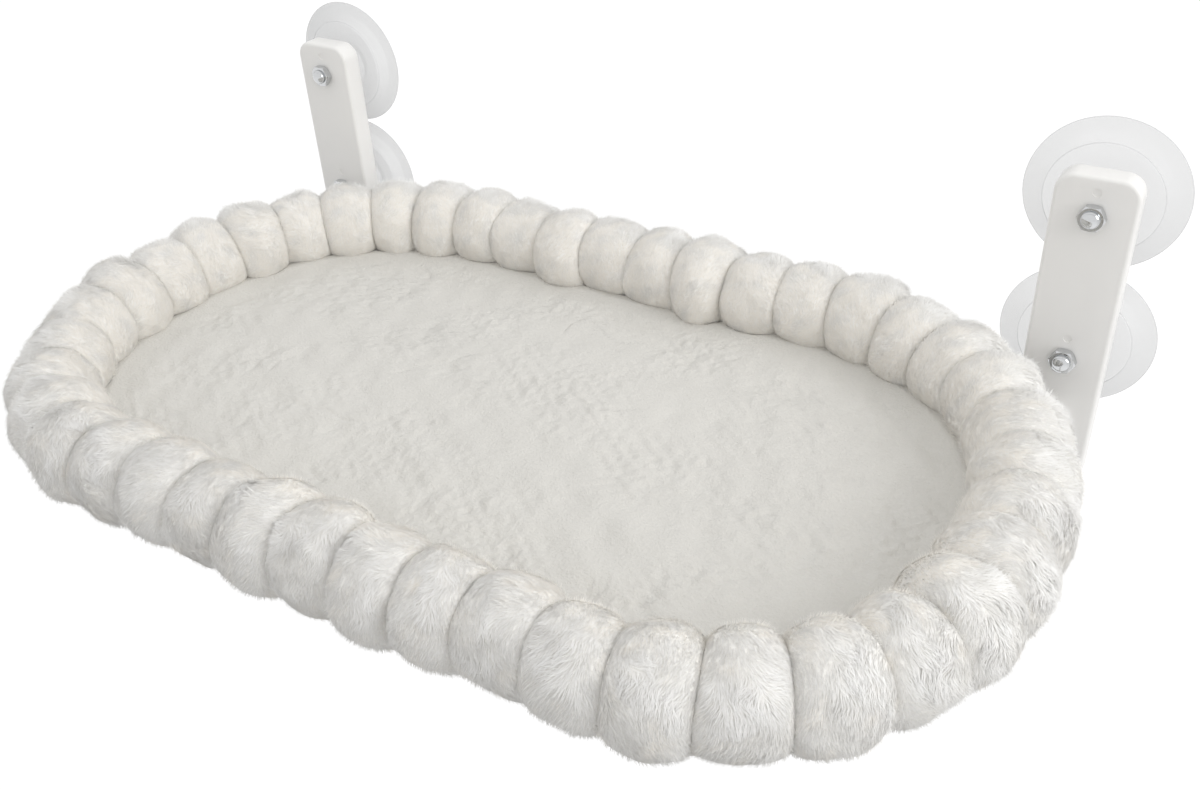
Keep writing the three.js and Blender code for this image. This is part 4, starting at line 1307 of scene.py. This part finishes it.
def acorn_nut(name, nuts, place):
    """A dome nut: a hexagon with its corners turned off, a neck, a dome and a hole for the stud."""
    seat, top = -nut_high.y, -nut_low.y
    corner = (nut_high.z - nut_low.z) / 2
    flat = corner * math.cos(math.pi / 6)
    hex_top = seat + nuts.hexagon
    bpy.ops.mesh.primitive_cylinder_add(vertices=6, radius=corner, depth=nuts.hexagon)
    blank = bpy.context.active_object
    blank.name = blank.data.name = name
    blank.rotation_euler = (math.pi / 2, math.pi / 6, 0)
    blank.location = (0, -(seat + hex_top) / 2, 0)
    settle(blank)

    past = corner + 0.3 * MM
    low_flat, high_flat = flat + 0.1 * MM, flat - 0.1 * MM
    chamfer = [(0, seat), (low_flat, seat), (past, seat + nuts.chamfer), (past, hex_top - nuts.chamfer),
               (high_flat, hex_top), (0, hex_top)]
    cut_with(blank, [turned("chamfer", chamfer, 48)], "INTERSECT")

    neck, neck_low, neck_top = nuts.dome * 0.94, hex_top - MM, hex_top + 0.3 * MM
    spring = hex_top + nuts.neck
    turns = np.linspace(0, math.pi / 2, 14)
    arc = [(nuts.dome * math.cos(a), spring + (top - spring) * math.sin(a)) for a in turns]
    cut_with(blank, [turned("cap", [(0, neck_low), (neck, neck_low), (neck, neck_top), *arc], 48)], "UNION")

    mouth, bottom = seat - MM, seat + nuts.bore_depth
    bore = [(0, mouth), (nuts.bore, mouth), (nuts.bore, bottom), (0, bottom)]
    cut_with(blank, [turned("bore", bore, 32)])
    blank.location = place
    settle(blank)
    smooth(blank, 32)
    return blank


class PERCH_OT_arms(bpy.types.Operator):
    """Two moulded arms with stud holes, locating holes and cored backs"""

    bl_idname = "perch.arms"
    bl_label = "Arms"

    def execute(self, context):
        arm = context.scene.perch_arm
        tint = context.scene.perch_finish.plastic
        plastic = moulded_material("white_plastic", tint, 0.4, Specular_IOR_Level=0.5)
        for side in SIDES:
            low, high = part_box(f"{side}_arm")
            bar = block(f"{side}_moulded_arm", low, high)
            bevel_edges(bar, arm.corner, 14, runs_in_depth)
            bevel_edges(bar, arm.edge, 6, at_depth(low.y, high.y))
            cut_with(bar, arm_cutters(side, low, high, arm))
            smooth(bar, 32)
            dress(bar, "window_mounts", "white_plastic", plastic, f"{side}_arm")
        return {"FINISHED"}


def runs_in_depth(a, b):
    """Whether the edge between two points runs along Y."""
    return abs((a - b).normalized().y) > 0.9


def at_depth(*depths):
    """A test for edges that lie in one of the planes at some places in Y."""
    return lambda a, b: abs(a.y - b.y) < SAME_POINT and min(abs(a.y - y) for y in depths) < NEAR_POINT


def bevel_edges(piece, width, segments, chosen):
    """Bevels the edges whose two ends pass a test, in edit mode."""
    with editing(piece, "DESELECT"):
        bpy.ops.mesh.select_mode(type="EDGE")
        mesh = bmesh.from_edit_mesh(piece.data)
        for edge in mesh.edges:
            edge.select_set(chosen(edge.verts[0].co, edge.verts[1].co))
        bmesh.update_edit_mesh(piece.data)
        bpy.ops.mesh.bevel(offset=width, offset_type="OFFSET", segments=segments, affect="EDGES")


def hole(x, z, radius, near, far, steps):
    """A cutter for a round hole along Y, between two heights off the glass."""
    bpy.ops.object.select_all(action="DESELECT")
    bpy.ops.mesh.primitive_cylinder_add(
        vertices=steps, radius=radius, depth=far - near, location=(x, -(near + far) / 2, z),
        rotation=(math.pi / 2, 0, 0),
    )
    cutter = bpy.context.active_object
    settle(cutter)
    return cutter


def middle_of(node_name):
    """The x and z of the middle of a node's box."""
    low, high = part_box(node_name)
    return (low.x + high.x) / 2, (low.z + high.z) / 2


def arm_cutters(side, low, high, arm):
    """Cutters for an arm's stud holes, locating holes, screw holes and cored cells."""
    x = (low.x + high.x) / 2
    back, front = -high.y - MM, -low.y + MM
    cutters = []
    for level in LEVELS:
        _, stud_z = middle_of(f"{level}_{side}_acorn_nut")
        cutters.append(hole(x, stud_z, arm.stud_bore, back, front, 40))
        peg = front - MM - arm.locator_depth
        cutters.append(hole(x, stud_z + arm.locator_above, arm.locator / 2, peg, front, 28))
        screw = f"{level}_{side}_bracket_screw"
        screw_tip = -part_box(screw)[1].y - 0.3 * MM
        cutters.append(hole(*middle_of(screw), arm.screw_bore, screw_tip, front, 20))
    for bottom, top in core_cells(side, arm):
        near = Vector((low.x + arm.wall, high.y - arm.core_depth, bottom))
        far = Vector((high.x - arm.wall, high.y + MM, top))
        cell = block("cell", near, far)
        bevel_edges(cell, arm.wall, 5, runs_in_depth)
        cutters.append(cell)
    return cutters


def core_cells(side, arm):
    """The (bottom, top) heights of the cored cells: three between the studs, and one below the lower stud."""
    stud_z = (nut_high.z + nut_low.z) / 2
    _, screw_z = middle_of(f"upper_{side}_bracket_screw")
    low = -stud_z + arm.locator_above + arm.locator / 2 + arm.wall
    high = stud_z - arm.stud_pad
    pitch = (high - low + arm.rib) / 3
    cells = [(low + cell * pitch, low + (cell + 1) * pitch - arm.rib) for cell in range(3)]
    return [*cells, (screw_z + arm.screw_pad, -stud_z - arm.stud_pad)]


class PERCH_OT_metalwork(bpy.types.Operator):
    """Brackets, tubes, hinge pieces and screws"""

    bl_idname = "perch.metalwork"
    bl_label = "Metalwork"

    def execute(self, context):
        metal, finish = context.scene.perch_metalwork, context.scene.perch_finish
        coat = moulded_material("powder_coat", finish.coating, 0.45, depth=0.05 * MM, scale=1400.0)
        coated = ("coated_steel", coat)
        zinc = ("zinc_steel", moulded_material("zinc_screws", finish.zinc, 0.32, Metallic=1.0))
        nylon = ("nylon", moulded_material("nylon", finish.nylon, 0.5))
        for side in SIDES:
            dressed(f"{side}_gusset_bracket", f"{side}_gusset", "window_mounts", coated, metal.plate_edge)
            for part in ("hinge_bolt", "hinge_nut"):
                dressed(f"{side}_{part}", f"{side}_{part}_finished", "window_mounts", zinc, metal.bolt_edge)
            washer = f"{side}_hinge_washer"
            dressed(washer, f"{side}_washer_finished", "window_mounts", nylon, metal.washer_edge)
            for level in LEVELS:
                screw = f"{level}_{side}_bracket_screw"
                dressed(screw, f"{level}_{side}_screw", "window_mounts", zinc, metal.plate_edge)
            dressed(f"{side}_tube_coupler", f"{side}_coupler", "bed", zinc, metal.coupler_edge)
            for half in ("front", "rear"):
                screw = f"{half}_{side}_coupler_screw"
                dressed(screw, f"{half}_{side}_small_screw", "bed", zinc, metal.bolt_edge)
        for half in ("front", "rear"):
            dressed(f"{half}_frame_tube", f"{half}_tube", "bed", coated, 0.0)
        return {"FINISHED"}


def dressed(node_name, name, body, finish, bevel):
    """A merged copy of a node with softened edges, which stands for it. Finish is a slot and a material."""
    piece = frame["nodes"][node_name].copy()
    piece.data = piece.data.copy()
    piece.name = piece.data.name = name
    piece.parent = None
    for key in list(piece.keys()):
        del piece[key]
    bpy.context.scene.collection.objects.link(piece)
    with editing(piece):
        bpy.ops.mesh.remove_doubles(threshold=NEAR_POINT)
        bpy.ops.mesh.dissolve_limited(angle_limit=math.radians(1))
        bpy.ops.mesh.normals_make_consistent(inside=False)
    if bevel:
        modifier = piece.modifiers.new("soft_edges", "BEVEL")
        modifier.width = bevel
        modifier.segments = 3
        modifier.limit_method = "ANGLE"
        modifier.angle_limit = math.radians(50)
        apply_modifiers(piece)
    smooth(piece, 40)
    return dress(piece, body, *finish, node_name)


class PERCH_OT_stage(bpy.types.Operator):
    """Floor, lights and camera"""

    bl_idname = "perch.stage"
    bl_label = "Stage"

    def execute(self, context):
        scene, stage = context.scene, context.scene.perch_stage
        scene.view_settings.view_transform = "Standard"
        bpy.ops.object.select_all(action="DESELECT")
        bpy.ops.mesh.primitive_plane_add(size=stage.floor_size, location=(0, 0, stage.floor))
        floor = context.active_object
        floor.name = "floor"
        floor.data.materials.append(floor_material(stage.floor_glow))
        make_world(scene, stage)
        make_key_light(stage)
        make_camera(scene, stage)
        return {"FINISHED"}


def floor_material(glow):
    """Pale floor that the camera, mirrors and glass see as white, where nothing shades it."""
    material, tree, shader = new_material(
        "pale_floor", Base_Color=(0.5, 0.5, 0.5, 1), Roughness=1.0, Emission_Color=(1, 1, 1, 1)
    )
    feed(tree, shader, [("Emission Strength", seen_rays(tree, glow))])
    return material


def seen_rays(tree, strength):
    """Strength for camera, glossy and transmission rays, and none for the rest."""
    path = tree.nodes.new("ShaderNodeLightPath")
    total = path.outputs["Is Camera Ray"]
    for label in ("Is Glossy Ray", "Is Transmission Ray"):
        total = maths(tree, "MAXIMUM", total, path.outputs[label])
    return maths(tree, "MULTIPLY", total, strength)


def make_world(scene, stage):
    """Soft light from all round, a little stronger from above, seen as white."""
    world = bpy.data.worlds.new("soft_studio")
    scene.world = world
    world.use_nodes = True
    tree = world.node_tree
    background = tree.nodes["Background"]
    background.inputs["Color"].default_value = (1, 1, 1, 1)
    place = node(tree, "ShaderNodeTexCoord")
    height = node(tree, "ShaderNodeSeparateXYZ", [("Vector", place.outputs["Generated"])])
    below, above = stage.fill_below * stage.fill, stage.fill_above * stage.fill
    strengths = [("Value", height.outputs["Z"]), ("To Min", below), ("To Max", above)]
    soft = node(tree, "ShaderNodeMapRange", strengths)
    total = maths(tree, "MAXIMUM", seen_rays(tree, 1.0), soft.outputs["Result"])
    feed(tree, background, [("Strength", total)])


def make_key_light(stage):
    """A round soft lamp at the right, aimed at the bed."""
    light = bpy.data.lights.new("key_light", "AREA")
    light.shape = "DISK"
    light.size = stage.lamp_size
    light.energy = stage.key
    lamp = linked("key_light", light)
    lamp.location = stage.lamp
    middle = Vector((0, (cad_low.y + cad_high.y) / 2, bolster_z))
    lamp.rotation_euler = (middle - Vector(stage.lamp)).to_track_quat("-Z", "Y").to_euler()


def make_camera(scene, stage):
    """The camera at the photo's angle: yaw turns it from +Y to -X, pitch tilts it down, then it rolls."""
    cy, sy, cp, sp = math.cos(stage.yaw), math.sin(stage.yaw), math.cos(stage.pitch), math.sin(stage.pitch)
    ahead = Vector((-sy * cp, cy * cp, -sp))
    right = Vector((cy, sy, 0))
    down = ahead.cross(right)
    cr, sr = math.cos(stage.roll), math.sin(stage.roll)
    right, down = right * cr + down * sr, down * cr - right * sr
    data = bpy.data.cameras.new("camera")
    data.sensor_width = stage.sensor
    data.lens = stage.focal
    camera = linked("camera", data)
    turn = Matrix((right, -down, -ahead)).transposed().to_4x4()
    camera.matrix_world = Matrix.Translation(stage.camera) @ turn
    scene.camera = camera


class PERCH_PT_panel(bpy.types.Panel):
    """Lists the perch's pieces"""

    bl_label = "Cat window perch"
    bl_idname = "PERCH_PT_panel"
    bl_space_type = "VIEW_3D"
    bl_region_type = "UI"
    bl_category = "Perch"

    def draw(self, context):
        for operator in OPERATORS:
            self.layout.operator(operator.bl_idname)


SETTINGS = {
    "perch_bolster": BolsterSettings,
    "perch_pile": PileSettings,
    "perch_pad": PadSettings,
    "perch_sling": SlingSettings,
    "perch_cups": CupSettings,
    "perch_nuts": NutSettings,
    "perch_arm": ArmSettings,
    "perch_metalwork": MetalworkSettings,
    "perch_finish": FinishSettings,
    "perch_stage": StageSettings,
}
OPERATORS = (
    PERCH_OT_stage,
    PERCH_OT_bolster,
    PERCH_OT_pile,
    PERCH_OT_pad,
    PERCH_OT_sling,
    PERCH_OT_cups,
    PERCH_OT_arms,
    PERCH_OT_metalwork,
)


def register():
    for settings in SETTINGS.values():
        bpy.utils.register_class(settings)
    for name, settings in SETTINGS.items():
        setattr(bpy.types.Scene, name, PointerProperty(type=settings))
    for operator in OPERATORS:
        bpy.utils.register_class(operator)
    bpy.utils.register_class(PERCH_PT_panel)


def unregister():
    bpy.utils.unregister_class(PERCH_PT_panel)
    for operator in reversed(OPERATORS):
        bpy.utils.unregister_class(operator)
    for name in reversed(SETTINGS):
        delattr(bpy.types.Scene, name)
    for settings in reversed(SETTINGS.values()):
        bpy.utils.unregister_class(settings)


def main():
    register()
    bpy.ops.perch.stage()
    bpy.ops.perch.bolster()
    bpy.ops.perch.pile()
    bpy.ops.perch.pad()
    bpy.ops.perch.sling()
    bpy.ops.perch.cups()
    bpy.ops.perch.arms()
    bpy.ops.perch.metalwork()


if __name__ == "__main__":
    main()
